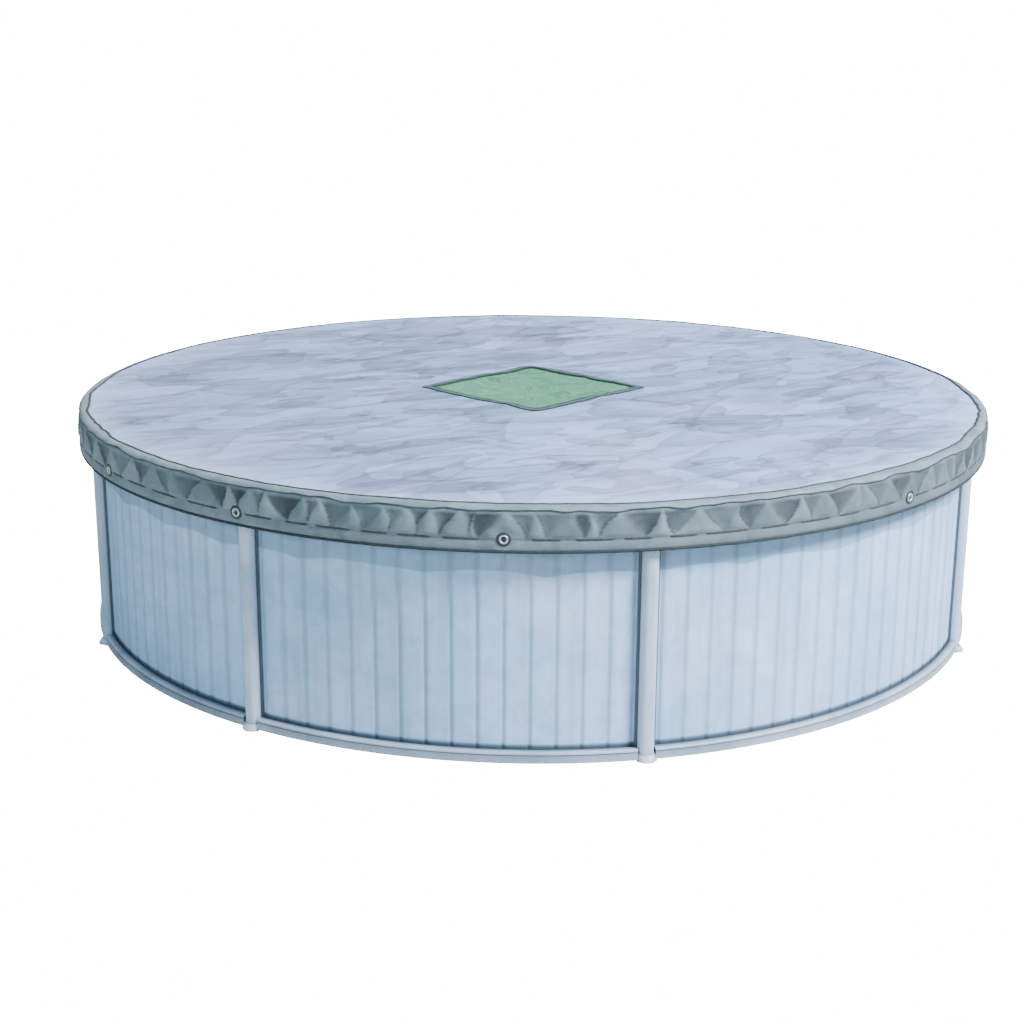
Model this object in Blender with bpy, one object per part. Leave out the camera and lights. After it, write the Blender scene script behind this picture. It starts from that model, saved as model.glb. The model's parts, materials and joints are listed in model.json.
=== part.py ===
"""Winter cover on its round steel-wall pool, in metres.

+Z is up and the origin is the centre of the pool on the ground.  Azimuth 0 is the
front (-Y) and grows towards +X, so a piece modelled at the front takes its place
round the pool by a plain rotation about Z.
"""

import math

import bmesh
import bpy
from mathutils import Matrix

# ---------------------------------------------------------------- driving dimensions
FRONT_UPRIGHTS = [math.radians(a) for a in (-68, -32.5, 12.5, 68)]
BACK_UPRIGHTS = 4
RIBS = 128
RIB_START = math.radians(12.5)

WALL_R = 1.830
WALL_THICK = 0.001
WALL_BOTTOM, WALL_TOP = 0.0065, 0.902
RIB_DEPTH = 0.004
RIB_WIDTH = 0.018

UPRIGHT_BACK_R = 1.8312
UPRIGHT_FRONT_R = 1.8715
UPRIGHT_HALF = 0.029
UPRIGHT_THICK = 0.0015
UPRIGHT_LIP = 0.009
UPRIGHT_TOP = 0.896

FOOT_THICK = 0.004
FOOT_BACK_R, FOOT_FRONT_R = 1.806, 1.8885
FOOT_HALF = 0.038
FOOT_NOSE = 0.014
BOOT_THICK = 0.002
BOOT_FRONT_R = 1.887
BOOT_TOP = 0.026

TRACK_IN_R, TRACK_OUT_R = 1.8200, 1.8645
TRACK_TOP = 0.037
TRACK_THICK = 0.0015
TRACK_GAP = math.radians(1.15)

LEDGE_IN_R, LEDGE_OUT_R = 1.772, 1.883
LEDGE_TOP = 0.920
LEDGE_DEPTH = 0.030
LEDGE_CORNER = 0.016
LEDGE_THICK = 0.0016
LEDGE_GAP = math.radians(0.15)

CAP_THICK = 0.002
CAP_HALF_ANGLE = math.radians(1.9)
CAP_PLUG_LOW = 0.862

LINER_R = 1.8225
LINER_THICK = 0.001
LINER_BEAD_R = 1.8350
LINER_TOP = 0.906
LINER_COVE_TOP = 0.036
FLOOR_LOW, FLOOR_THICK, FLOOR_R = 0.0045, 0.0012, 1.8115

COVER_R = 1.898
COVER_THICK = 0.0015
COVER_BOTTOM = 0.777
COVER_TOP = 0.9248
RIM_CORNER = 0.026
RIM_SEAM = 0.0010
SEAM_Z = COVER_BOTTOM + 0.040
FACING_THICK = 0.001

PANEL_SIDE = 0.645
PANEL_THICK = 0.0012
PANEL_TURN = math.radians(2)
BINDING_WIDTH = 0.040
BINDING_THICK = 0.0012

CABLE_D = 0.005
CABLE_Z = 0.787
GROMMET_R = 0.0225
GROMMET_EYE_R = 0.0095
EYE_HOLE_R = GROMMET_EYE_R + 0.0025
FRONT_GROMMETS = [math.radians(a) for a in (-56.6, -32.4, -2.8, 45.5)]
BACK_GROMMETS = 3

NOTCH_HALF = 0.075
NOTCH_TOP = 0.832
WINCH_AZIMUTH = math.pi
WINCH_AXIS_R = 1.912
WINCH_AXIS_X = 0.014
WINCH_PLATE = 0.002
WINCH_BACK_R = 1.890
WINCH_FRONT_R = 1.930
WINCH_HALF = 0.043
WINCH_LOW, WINCH_HIGH = 0.770, 0.806
SHAFT_R = 0.0042
DRUM_R = 0.007
GEAR_TEETH = 12
GEAR_R, GEAR_ROOT_R = 0.015, 0.0118
GEAR_FACE = math.radians(264)
GEAR_LOW, GEAR_HIGH = 0.8065, 0.8110
HANDLE_Z = 0.7585
HANDLE_R = 0.0032
HANDLE_HALF = 0.026
PAWL_X, PAWL_R = WINCH_AXIS_X - 0.0176, WINCH_AXIS_R + 0.0100
PIN_R = 0.002
ANCHOR_R = 1.9000

GAP = 0.0004
RING_STEPS = 64
STEP_MOST = math.radians(7.5)


# ---------------------------------------------------------------- helpers
def clear_scene():
    for obj in list(bpy.data.objects):
        bpy.data.objects.remove(obj)


def material(name, colour, roughness, metallic=0.0):
    made = bpy.data.materials.new(name)
    made.use_nodes = True
    shader = made.node_tree.nodes["Principled BSDF"]
    shader.inputs["Base Color"].default_value = (*colour, 1.0)
    shader.inputs["Roughness"].default_value = roughness
    shader.inputs["Metallic"].default_value = metallic
    return made


def finished(bm, name):
    """The bmesh as a smooth-shaded mesh with its sharp edges kept."""
    bmesh.ops.remove_doubles(bm, verts=bm.verts, dist=1e-6)
    bmesh.ops.recalc_face_normals(bm, faces=bm.faces)
    mesh = bpy.data.meshes.new(name)
    bm.to_mesh(mesh)
    bm.free()
    mesh.shade_smooth()
    mesh.set_sharp_from_angle(angle=math.radians(32))
    return mesh


def add(name, mesh, mat, parent, turn=0.0):
    """An object in its place, its mesh turned about the pool's axis."""
    obj = bpy.data.objects.new(name, mesh)
    if not mesh.materials:
        mesh.materials.append(mat)
    obj.rotation_euler.z = turn
    obj.parent = parent
    bpy.context.scene.collection.objects.link(obj)
    return obj


def group(name):
    empty = bpy.data.objects.new(name, None)
    bpy.context.scene.collection.objects.link(empty)
    return empty


def spun(profile, name, start=0.0, end=2 * math.pi, steps=RING_STEPS):
    """A closed (radius, height) outline turned about Z from azimuth start to end."""
    bm = bmesh.new()
    verts = [bm.verts.new((0.0, -r, z)) for r, z in profile]
    whole = abs(end - start - 2 * math.pi) < 1e-9
    edges = [bm.edges.new((v, verts[i - 1])) for i, v in enumerate(verts)]
    geom = verts + edges
    if not whole:
        geom = geom + [bm.faces.new(verts)]
    bmesh.ops.rotate(bm, verts=verts, cent=(0, 0, 0), matrix=Matrix.Rotation(start, 3, "Z"))
    bmesh.ops.spin(
        bm, geom=geom, cent=(0, 0, 0), axis=(0, 0, 1), dvec=(0, 0, 0),
        angle=end - start, steps=steps, use_merge=whole,
    )
    return finished(bm, name)


def prism(outline, low, high, name):
    """A closed (x, y) outline extruded from height low to height high."""
    bm = bmesh.new()
    face = bm.faces.new([bm.verts.new((x, y, low)) for x, y in outline])
    grown = bmesh.ops.extrude_face_region(bm, geom=[face])
    top = [v for v in grown["geom"] if isinstance(v, bmesh.types.BMVert)]
    bmesh.ops.translate(bm, verts=top, vec=(0, 0, high - low))
    return finished(bm, name)


def block(x0, x1, r0, r1, z0, z1, name="block"):
    """A box at the front of the pool, between two radii."""
    return prism([(x0, -r0), (x0, -r1), (x1, -r1), (x1, -r0)], z0, z1, name)


def rod(radius, length, steps, name, turn=None, at=(0, 0, 0)):
    """A round bar centred on a point, along Z unless turned."""
    bm = bmesh.new()
    bmesh.ops.create_cone(
        bm, cap_ends=True, segments=steps, radius1=radius, radius2=radius, depth=length,
        matrix=Matrix.Translation(at) @ (turn or Matrix.Identity(4)),
    )
    return finished(bm, name)


def combined(meshes, operation, name):
    """The first mesh joined with, or cut by, the others, as one mesh."""
    objs = [bpy.data.objects.new(f"{name}_{i}", m) for i, m in enumerate(meshes)]
    for obj in objs:
        bpy.context.scene.collection.objects.link(obj)
    for tool in objs[1:]:
        step = objs[0].modifiers.new("join", "BOOLEAN")
        step.operation = operation
        step.solver = "EXACT"
        step.object = tool
    graph = bpy.context.evaluated_depsgraph_get()
    made = bpy.data.meshes.new_from_object(objs[0].evaluated_get(graph))
    for obj in objs:
        bpy.data.objects.remove(obj)
    bm = bmesh.new()
    bm.from_mesh(made)
    mesh = finished(bm, name)
    mesh.materials.clear()
    return mesh


def corner(cr, cz, radius, first, last, steps):
    """Points of a round corner in (radius, height), angles in degrees from outward."""
    angles = [math.radians(first + (last - first) * i / steps) for i in range(steps + 1)]
    return [(cr + radius * math.cos(a), cz + radius * math.sin(a)) for a in angles]


def spread(front, extra):
    """The front azimuths as given, and extra ones that share the way round the back evenly."""
    span = math.tau - (front[-1] - front[0])
    return front + [front[-1] + span * (k + 1) / (extra + 1) for k in range(extra)]


# ---------------------------------------------------------------- pool frame
def wall_mesh():
    """One coil of sheet steel, with a shallow vertical groove at each rib pitch."""
    pitch = math.tau / RIBS
    half = RIB_WIDTH / 2 / WALL_R
    bm = bmesh.new()
    loops = []
    for surface in (WALL_R, WALL_R - WALL_THICK):
        loop = []
        for i in range(RIBS):
            middle = RIB_START + (i + 0.5) * pitch
            for offset, depth in ((-half, 0.0), (0.0, RIB_DEPTH), (half, 0.0)):
                a = middle + offset
                r = surface - depth
                loop.append(bm.verts.new((r * math.sin(a), -r * math.cos(a), WALL_BOTTOM)))
        loops.append(loop)
    outer, inner = loops
    faces = [
        bm.faces.new((outer[i - 1], outer[i], inner[i], inner[i - 1]))
        for i in range(len(outer))
    ]
    grown = bmesh.ops.extrude_face_region(bm, geom=faces)
    top = [v for v in grown["geom"] if isinstance(v, bmesh.types.BMVert)]
    bmesh.ops.translate(bm, verts=top, vec=(0, 0, WALL_TOP - WALL_BOTTOM))
    return finished(bm, "wall")


def upright_mesh():
    """A lipped channel with a slightly crowned front, open towards the wall."""
    half, front, back = UPRIGHT_HALF, UPRIGHT_FRONT_R, UPRIGHT_BACK_R
    t = UPRIGHT_THICK
    right = [
        (0.0, front), (half - 0.008, front - 0.0012), (half - 0.002, front - 0.004),
        (half, front - 0.010), (half, back), (half - UPRIGHT_LIP, back),
        (half - UPRIGHT_LIP, back + t), (half - t, back + t), (half - t, front - 0.0105),
        (half - 0.0032, front - 0.0053), (half - 0.0088, front - 0.0012 - t), (0.0, front - t),
    ]
    left = [(-x, r) for x, r in reversed(right[1:-1])]
    outline = right + left
    return prism([(x, -r) for x, r in outline], FOOT_THICK + GAP, UPRIGHT_TOP, "upright")


def foot_mesh():
    """A ground plate with a round-nosed boot that the upright's lower end stands in."""
    nose = FOOT_NOSE
    plate = prism(
        [
            (-FOOT_HALF, -FOOT_BACK_R), (FOOT_HALF, -FOOT_BACK_R), (FOOT_HALF, -FOOT_FRONT_R + nose),
            (FOOT_HALF - nose, -FOOT_FRONT_R), (nose - FOOT_HALF, -FOOT_FRONT_R),
            (-FOOT_HALF, -FOOT_FRONT_R + nose),
        ],
        0.0, FOOT_THICK, "foot_plate",
    )
    inside = UPRIGHT_HALF + GAP
    outside = inside + BOOT_THICK
    front = UPRIGHT_FRONT_R + GAP
    back = UPRIGHT_BACK_R + 0.007
    right = [
        (outside - nose, -BOOT_FRONT_R), (outside, -BOOT_FRONT_R + nose), (outside, -back),
        (inside, -back), (inside, -front + 0.004), (inside - 0.004, -front),
    ]
    left = [(-x, y) for x, y in reversed(right)]
    boot = prism(right + left, FOOT_THICK / 2, BOOT_TOP, "foot_boot")
    return combined([plate, boot], "UNION", "foot")


def bay_steps(bay):
    """Chords in a bay: short enough that the channel's lip stays outside the wall."""
    return math.ceil(bay / STEP_MOST - 1e-6)


def track_mesh(bay):
    """The curved bottom channel that one bay of wall stands in."""
    low, t = FOOT_THICK + GAP, TRACK_THICK
    lip_r, lip_z = WALL_R + 0.0050, TRACK_TOP - 0.0005
    profile = [
        (TRACK_IN_R, 0.016), (TRACK_IN_R, low), (TRACK_OUT_R, low),
        (TRACK_OUT_R, TRACK_TOP - 0.006), (TRACK_OUT_R - 0.005, TRACK_TOP), (lip_r, lip_z),
        (lip_r, lip_z - t), (TRACK_OUT_R - 0.0057, TRACK_TOP - t),
        (TRACK_OUT_R - t, TRACK_TOP - 0.0068), (TRACK_OUT_R - t, low + t),
        (TRACK_IN_R + t, low + t), (TRACK_IN_R + t, 0.016),
    ]
    return spun(profile, "base_track", TRACK_GAP, bay - TRACK_GAP, bay_steps(bay))


def ledge_outline(grow, thick, drop_in, drop_out):
    """Inverted tray section: outline grown outwards by grow, then back inside by thick."""
    shells = []
    for offset in (grow, grow - thick):
        shells.append(
            [(LEDGE_OUT_R + offset, LEDGE_TOP - drop_out)]
            + corner(LEDGE_OUT_R - LEDGE_CORNER, LEDGE_TOP - LEDGE_CORNER, LEDGE_CORNER + offset, 0, 90, 2)
            + corner(LEDGE_IN_R + 0.008, LEDGE_TOP - 0.008, 0.008 + offset, 90, 180, 1)
            + [(LEDGE_IN_R - offset, LEDGE_TOP - drop_in)]
        )
    return shells[0] + shells[1][::-1]


def ledge_mesh(bay):
    """The top rail of one bay."""
    outline = ledge_outline(0.0, LEDGE_THICK, 0.022, LEDGE_DEPTH)
    return spun(outline, "ledge", LEDGE_GAP, bay - LEDGE_GAP, bay_steps(bay))


def ledge_cap_mesh():
    """A moulded saddle: it plugs into the upright and holds the ends of two ledges."""
    clear = 0.0006
    skin = spun(
        ledge_outline(clear + CAP_THICK, CAP_THICK, 0.018, 0.026), "cap_skin",
        -CAP_HALF_ANGLE, CAP_HALF_ANGLE, 2,
    )
    chord = math.cos(STEP_MOST / 2) / math.cos(STEP_MOST / 2 + LEDGE_GAP - CAP_HALF_ANGLE)
    for vert in skin.vertices:
        if abs(math.atan2(vert.co.x, -vert.co.y)) > CAP_HALF_ANGLE / 2:
            vert.co.x *= chord
            vert.co.y *= chord
    under = LEDGE_TOP - LEDGE_THICK - clear
    web = block(-0.003, 0.003, 1.784, LEDGE_OUT_R - LEDGE_CORNER, under - 0.002, LEDGE_TOP + 0.0015)
    plate = block(-0.045, 0.045, 1.790, 1.860, under - 0.0055, under)
    plug = block(-0.025, 0.025, UPRIGHT_BACK_R + 0.0055, UPRIGHT_FRONT_R - 0.006, CAP_PLUG_LOW, under - 0.003)
    return combined([skin, web, plate, plug], "UNION", "ledge_cap")


def liner_wall_mesh():
    """The vinyl wall strip; its bead hooks over the top of the steel wall."""
    r, t, low, top = LINER_R, LINER_THICK, FLOOR_LOW, LINER_TOP
    cove_r, cove_low = r - 0.0075, LINER_COVE_TOP - 0.014
    bead_low = top - 0.0085
    inner = [
        (cove_r, low), (cove_r, cove_low), (r, LINER_COVE_TOP), (r, top),
        (LINER_BEAD_R, top), (LINER_BEAD_R, bead_low),
    ]
    outer = [
        (LINER_BEAD_R - t, bead_low), (LINER_BEAD_R - t, top - t), (r + t, top - t),
        (r + t, LINER_COVE_TOP - 0.0002), (cove_r + t, cove_low - 0.0002), (cove_r + t, low),
    ]
    return spun(inner + outer, "liner_wall")


def liner_floor_mesh():
    angles = [k * math.tau / RING_STEPS for k in range(RING_STEPS)]
    outline = [(FLOOR_R * math.sin(a), -FLOOR_R * math.cos(a)) for a in angles]
    return prism(outline, FLOOR_LOW, FLOOR_LOW + FLOOR_THICK, "liner_floor")


# ---------------------------------------------------------------- cover
def square(side):
    """The drain panel's square, its corners to the front, back and sides."""
    half = side / math.sqrt(2)
    angles = [PANEL_TURN + k * math.pi / 2 for k in range(4)]
    return [(half * math.cos(a), half * math.sin(a)) for a in angles]


def cover_top_mesh():
    """The round flat sheet, with a square window for the drain panel."""
    edge = COVER_R - RIM_CORNER - GAP
    inside_window = PANEL_SIDE / 3
    low = COVER_TOP - COVER_THICK
    outline = [(edge, low), (edge, COVER_TOP), (inside_window, COVER_TOP), (inside_window, low)]
    window = prism(square(PANEL_SIDE), COVER_TOP - 0.01, COVER_TOP + 0.01, "window")
    return combined([spun(outline, "sheet"), window], "DIFFERENCE", "cover_top")


def eye_hole(azimuth):
    """A radial cutter for a grommet's neck."""
    turn = Matrix.Rotation(azimuth, 4, "Z")
    place = turn @ Matrix.Translation((0, -COVER_R, SEAM_Z)) @ Matrix.Rotation(math.pi / 2, 4, "X")
    return rod(EYE_HOLE_R, 0.03, 10, "eye", place)


def notch(grow=0.0):
    """The cut-out at the back that the cable's ends and the winch lie in."""
    half = NOTCH_HALF + grow
    mesh = block(-half, half, COVER_R - 0.03, COVER_R + 0.03, COVER_BOTTOM - 0.02, NOTCH_TOP + grow)
    mesh.transform(Matrix.Rotation(WINCH_AZIMUTH, 4, "Z"))
    return mesh


def rim_band_mesh():
    """The rolled strip that joins the sheet to the skirt round the rim."""
    rc = RIM_CORNER
    outer = corner(COVER_R - rc, COVER_TOP - rc, rc, 0, 90, 3)
    inner = corner(COVER_R - rc, COVER_TOP - rc, rc - COVER_THICK, 90, 0, 3)
    return spun(outer + inner, "rim_band")


def cover_skirt_mesh():
    """The band hung from the rim's seam, pierced for the grommets and notched at the winch."""
    inner = COVER_R - COVER_THICK
    top = COVER_TOP - RIM_CORNER - RIM_SEAM
    band = spun([(COVER_R, COVER_BOTTOM), (COVER_R, top), (inner, top), (inner, COVER_BOTTOM)], "band")
    cutters = [eye_hole(a) for a in spread(FRONT_GROMMETS, BACK_GROMMETS)]
    return combined([band, *cutters, notch()], "DIFFERENCE", "cover_skirt")


def hem_facing_mesh():
    """The strip sewn inside the skirt; it bulges into a channel for the cable."""
    skirt = COVER_R - COVER_THICK - GAP
    deep = skirt - CABLE_D - 2 * GAP
    outer = [
        (skirt, COVER_BOTTOM + 0.0005), (deep, CABLE_Z - 0.005), (deep, CABLE_Z + 0.005),
        (skirt, CABLE_Z + 0.010), (skirt, SEAM_Z + 0.018),
    ]
    inner = [(r - FACING_THICK, z) for r, z in reversed(outer)]
    cutters = [eye_hole(a) for a in spread(FRONT_GROMMETS, BACK_GROMMETS)]
    return combined([spun(outer + inner, "strip"), *cutters, notch(0.004)], "DIFFERENCE", "hem_facing")


def grommet_mesh():
    """A rolled eyelet at the front of the pool: outer flange, neck and inner washer."""
    eye, neck = GROMMET_EYE_R, GROMMET_EYE_R + 0.0018
    back = -0.0073
    washer = GROMMET_R - 0.006
    profile = [
        (eye, 0.0018), (neck + 0.003, 0.0034), (GROMMET_R, GAP), (neck, GAP),
        (neck, back + 0.0014), (washer, back + 0.0014), (washer, back), (eye, back),
    ]
    mesh = spun(profile, "grommet", steps=12)
    mesh.transform(Matrix.Translation((0, -COVER_R, SEAM_Z)) @ Matrix.Rotation(math.pi / 2, 4, "X"))
    return mesh


def binding_mesh():
    """Flat webbing sewn over the joint between the sheet and the drain panel."""
    low = COVER_TOP + GAP
    high = low + BINDING_THICK
    outer = prism(square(PANEL_SIDE + BINDING_WIDTH), low, high, "webbing")
    inner = prism(square(PANEL_SIDE - BINDING_WIDTH), low - 0.01, high + 0.01, "opening")
    return combined([outer, inner], "DIFFERENCE", "panel_binding")


def panel_mesh():
    top = COVER_TOP - 0.0001
    return prism(square(PANEL_SIDE - 2 * GAP), top - PANEL_THICK, top, "drain_panel")


def cable_route():
    """Centreline of the cinch cable: out of the drum, round in the hem, into the anchor."""
    ring_r = COVER_R - COVER_THICK - 2 * GAP - CABLE_D / 2
    ring = [
        (ring_r * math.sin(k * math.tau / RING_STEPS), ring_r * math.cos(k * math.tau / RING_STEPS))
        for k in range(1, RING_STEPS)
    ]
    exit_x = NOTCH_HALF - 0.005
    exit_r = ring_r + (ring[0][1] - ring_r) * exit_x / ring[0][0]
    drum_r = WINCH_AXIS_R - DRUM_R - CABLE_D / 2 - GAP
    drum_end = [(WINCH_AXIS_X, drum_r), (WINCH_AXIS_X + 0.030, drum_r - 0.0045), (exit_x, exit_r)]
    anchor_end = [(-exit_x, exit_r), (-WINCH_HALF - 0.006, ANCHOR_R), (-WINCH_HALF + 0.008, ANCHOR_R)]
    return drum_end + ring + anchor_end


def cable_object(mat, parent):
    """The coated cable, as a bevelled curve with a point at each step of the ring."""
    curve = bpy.data.curves.new("cinch_cable", "CURVE")
    curve.dimensions = "3D"
    curve.bevel_depth = CABLE_D / 2
    curve.bevel_resolution = 1
    curve.use_fill_caps = True
    route = cable_route()
    spline = curve.splines.new("POLY")
    spline.points.add(len(route) - 1)
    for point, (x, r) in zip(spline.points, route):
        point.co = (x, -r, CABLE_Z, 1.0)
    curve.materials.append(mat)
    obj = bpy.data.objects.new("cinch_cable", curve)
    obj.rotation_euler.z = WINCH_AZIMUTH
    obj.parent = parent
    bpy.context.scene.collection.objects.link(obj)


# ---------------------------------------------------------------- winch
def winch_frame_mesh():
    """A folded bracket: back, two shelves with the shaft holes, an anchor end and a pin."""
    body = block(-WINCH_HALF, WINCH_HALF, WINCH_BACK_R, WINCH_FRONT_R, WINCH_LOW, WINCH_HIGH)
    inside = block(
        -WINCH_HALF + WINCH_PLATE, WINCH_HALF + 0.01, WINCH_BACK_R + WINCH_PLATE, WINCH_FRONT_R + 0.01,
        WINCH_LOW + WINCH_PLATE, WINCH_HIGH - WINCH_PLATE,
    )
    bearing = rod(SHAFT_R + 0.0004, 0.1, 24, "bearing", at=(WINCH_AXIS_X, -WINCH_AXIS_R, 0.79))
    anchor = rod(
        CABLE_D / 2 + 0.0008, 0.012, 12, "anchor", Matrix.Rotation(math.pi / 2, 4, "Y"),
        (-WINCH_HALF, -ANCHOR_R, CABLE_Z),
    )
    bracket = combined([body, inside, bearing, anchor], "DIFFERENCE", "bracket")
    pin = rod(PIN_R, 0.0085, 12, "pin", at=(PAWL_X, -PAWL_R, WINCH_HIGH + 0.0030))
    head = rod(2 * PIN_R, 0.0014, 12, "head", at=(PAWL_X, -PAWL_R, GEAR_HIGH + 0.0011))
    return combined([bracket, pin, head], "UNION", "winch_frame")


def winch_spool_mesh():
    """Shaft, drum, ratchet wheel and tommy bar as one turning piece, about its own axis."""
    flange = 0.0112
    shaft = spun(
        [
            (0.0, 0.752), (SHAFT_R, 0.752), (SHAFT_R, 0.7730), (flange, 0.7730), (flange, 0.7745),
            (DRUM_R, 0.7745), (DRUM_R, 0.8015), (flange, 0.8015), (flange, 0.8030),
            (SHAFT_R, 0.8030), (SHAFT_R, GEAR_HIGH + 0.003), (0.0, GEAR_HIGH + 0.003),
        ],
        "shaft", steps=16,
    )
    pitch = math.tau / GEAR_TEETH
    outline = []
    for k in range(GEAR_TEETH):
        steep = GEAR_FACE - k * pitch
        outline += [
            (GEAR_R * math.cos(steep), GEAR_R * math.sin(steep)),
            (GEAR_ROOT_R * math.cos(steep), GEAR_ROOT_R * math.sin(steep)),
        ]
    wheel = prism(outline[::-1], GEAR_LOW, GEAR_HIGH, "wheel")
    bar = rod(HANDLE_R, 2 * HANDLE_HALF, 12, "bar", Matrix.Rotation(math.pi / 2, 4, "Y"), (0, 0, HANDLE_Z))
    return combined([shaft, wheel, bar], "UNION", "winch_spool")


def winch_pawl_mesh():
    """The click lever about its own pin: a nose in the ratchet wheel and a thumb tab."""
    nose = [(0.01585, -0.00223), (0.01555, -0.00568), (0.0131, -0.00708)]
    boss_below = [(0.0, -0.0046), (-0.0039, -0.0030)]
    tab = [(-0.0149, -0.0065), (-0.0189, -0.0060), (-0.0194, -0.0025), (-0.0154, 0.0010)]
    boss_above = [(-0.0030, 0.0032), (0.0006, 0.0044), (0.0033, 0.0024)]
    back_of_nose = [(0.0035, -0.0006), (0.0083, -0.0030), (0.0141, -0.00258)]
    outline = nose + boss_below + tab + boss_above + back_of_nose
    lever = prism(outline, GEAR_LOW, GEAR_HIGH - 0.0003, "lever")
    hole = rod(PIN_R + GAP, 0.03, 16, "hole", at=(0, 0, GEAR_LOW))
    return combined([lever, hole], "DIFFERENCE", "winch_pawl")


def on_axis(name, mesh, mat, parent, x, radius):
    """A turning piece with its origin on its joint's axis, at the back of the pool."""
    obj = add(name, mesh, mat, parent)
    place = Matrix.Rotation(WINCH_AZIMUTH, 4, "Z") @ Matrix.Translation((x, -radius, 0))
    obj.location = place.translation
    return obj


# ---------------------------------------------------------------- assembly
def build():
    clear_scene()
    steel = material("painted_wall_steel", (0.62, 0.72, 0.78), 0.45, 0.1)
    trim = material("trim_steel", (0.72, 0.77, 0.80), 0.40, 0.2)
    cap_plastic = material("cap_plastic", (0.66, 0.70, 0.73), 0.5)
    vinyl = material("liner_vinyl", (0.36, 0.62, 0.74), 0.35)
    sheet = material("cover_sheet", (0.62, 0.67, 0.76), 0.7)
    skirt = material("cover_skirt", (0.38, 0.43, 0.44), 0.7)
    mesh_green = material("drain_mesh", (0.38, 0.62, 0.45), 0.7)
    webbing = material("webbing", (0.30, 0.38, 0.36), 0.8)
    eyelet = material("eyelet_metal", (0.78, 0.80, 0.80), 0.3, 1.0)
    jacket = material("cable_jacket", (0.12, 0.13, 0.13), 0.5)
    zinc = material("zinc_plate", (0.62, 0.63, 0.64), 0.35, 1.0)

    pool = group("pool")
    parts = {
        "upright": (upright_mesh(), trim), "foot": (foot_mesh(), trim),
        "ledge_cap": (ledge_cap_mesh(), cap_plastic),
    }
    uprights = spread(FRONT_UPRIGHTS, BACK_UPRIGHTS)
    ends = uprights[1:] + [uprights[0] + math.tau]
    for i, (azimuth, end) in enumerate(zip(uprights, ends)):
        add(f"base_track_{i + 1}", track_mesh(end - azimuth), trim, pool, azimuth)
        add(f"ledge_{i + 1}", ledge_mesh(end - azimuth), trim, pool, azimuth)
        for name, (mesh, mat) in parts.items():
            add(f"{name}_{i + 1}", mesh, mat, pool, azimuth)
    add("wall", wall_mesh(), steel, pool)
    add("liner_wall", liner_wall_mesh(), vinyl, pool)
    add("liner_floor", liner_floor_mesh(), vinyl, pool)

    cover = group("cover")
    add("cover_top", cover_top_mesh(), sheet, cover)
    add("rim_band", rim_band_mesh(), skirt, cover)
    add("cover_skirt", cover_skirt_mesh(), skirt, cover)
    add("hem_facing", hem_facing_mesh(), skirt, cover)
    add("drain_panel", panel_mesh(), mesh_green, cover)
    add("panel_binding", binding_mesh(), webbing, cover)
    eyelet_mesh = grommet_mesh()
    for i, azimuth in enumerate(spread(FRONT_GROMMETS, BACK_GROMMETS)):
        add(f"grommet_{i + 1}", eyelet_mesh, eyelet, cover, azimuth)
    cable_object(jacket, cover)
    add("winch_frame", winch_frame_mesh(), zinc, cover, WINCH_AZIMUTH)
    spool = on_axis("winch_spool", winch_spool_mesh(), zinc, cover, WINCH_AXIS_X, WINCH_AXIS_R)
    pawl = on_axis("winch_pawl", winch_pawl_mesh(), zinc, cover, PAWL_X, PAWL_R)
    for obj in (spool, pawl):
        obj.rotation_euler.z = math.pi


build()
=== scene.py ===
"""The looks of the covered round pool: cloth, stitching, steel, vinyl and light.

Every length is in metres in the frame's own axes: +Z up, the front at -Y.  An azimuth is
an angle round the pool, 0 at the front and growing towards +X.
"""

import json
import math

import bmesh
import bpy
import numpy as np
from mathutils import Matrix, Vector, noise


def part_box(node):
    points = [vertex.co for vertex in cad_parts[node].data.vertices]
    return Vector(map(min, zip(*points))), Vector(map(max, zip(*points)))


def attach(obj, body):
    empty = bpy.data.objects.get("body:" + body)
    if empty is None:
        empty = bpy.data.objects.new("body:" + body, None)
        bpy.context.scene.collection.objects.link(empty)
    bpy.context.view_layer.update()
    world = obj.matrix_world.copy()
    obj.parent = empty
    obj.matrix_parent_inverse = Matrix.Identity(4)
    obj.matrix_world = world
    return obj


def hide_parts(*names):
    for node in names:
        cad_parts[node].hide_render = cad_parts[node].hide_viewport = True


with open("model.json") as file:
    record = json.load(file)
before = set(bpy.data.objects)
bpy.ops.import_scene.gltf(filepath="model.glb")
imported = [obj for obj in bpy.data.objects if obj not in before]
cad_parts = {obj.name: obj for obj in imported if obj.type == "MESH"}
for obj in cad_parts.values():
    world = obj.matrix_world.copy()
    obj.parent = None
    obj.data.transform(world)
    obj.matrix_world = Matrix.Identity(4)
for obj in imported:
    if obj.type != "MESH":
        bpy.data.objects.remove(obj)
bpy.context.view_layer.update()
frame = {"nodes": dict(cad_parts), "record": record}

TURN = 2 * math.pi


# ---- places read from the frame
def cad_points(node):
    """Radius, azimuth and height of each corner of a CAD node."""
    points = np.array([tuple(v.co) for v in frame["nodes"][node].data.vertices])
    azimuths = np.arctan2(points[:, 0], -points[:, 1])
    return np.hypot(points[:, 0], points[:, 1]), azimuths, points[:, 2]


def middle(node):
    low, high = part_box(node)
    return (Vector(low) + Vector(high)) / 2


def azimuth_of(node):
    at = middle(node)
    return math.atan2(at.x, -at.y)


def numbered(stem):
    """CAD nodes stem_1, stem_2 and so on, in order."""
    count = sum(n.rpartition("_")[0] == stem for n in frame["nodes"])
    return [f"{stem}_{k + 1}" for k in range(count)]


UPRIGHTS = [azimuth_of(n) % TURN for n in numbered("upright")]

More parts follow.
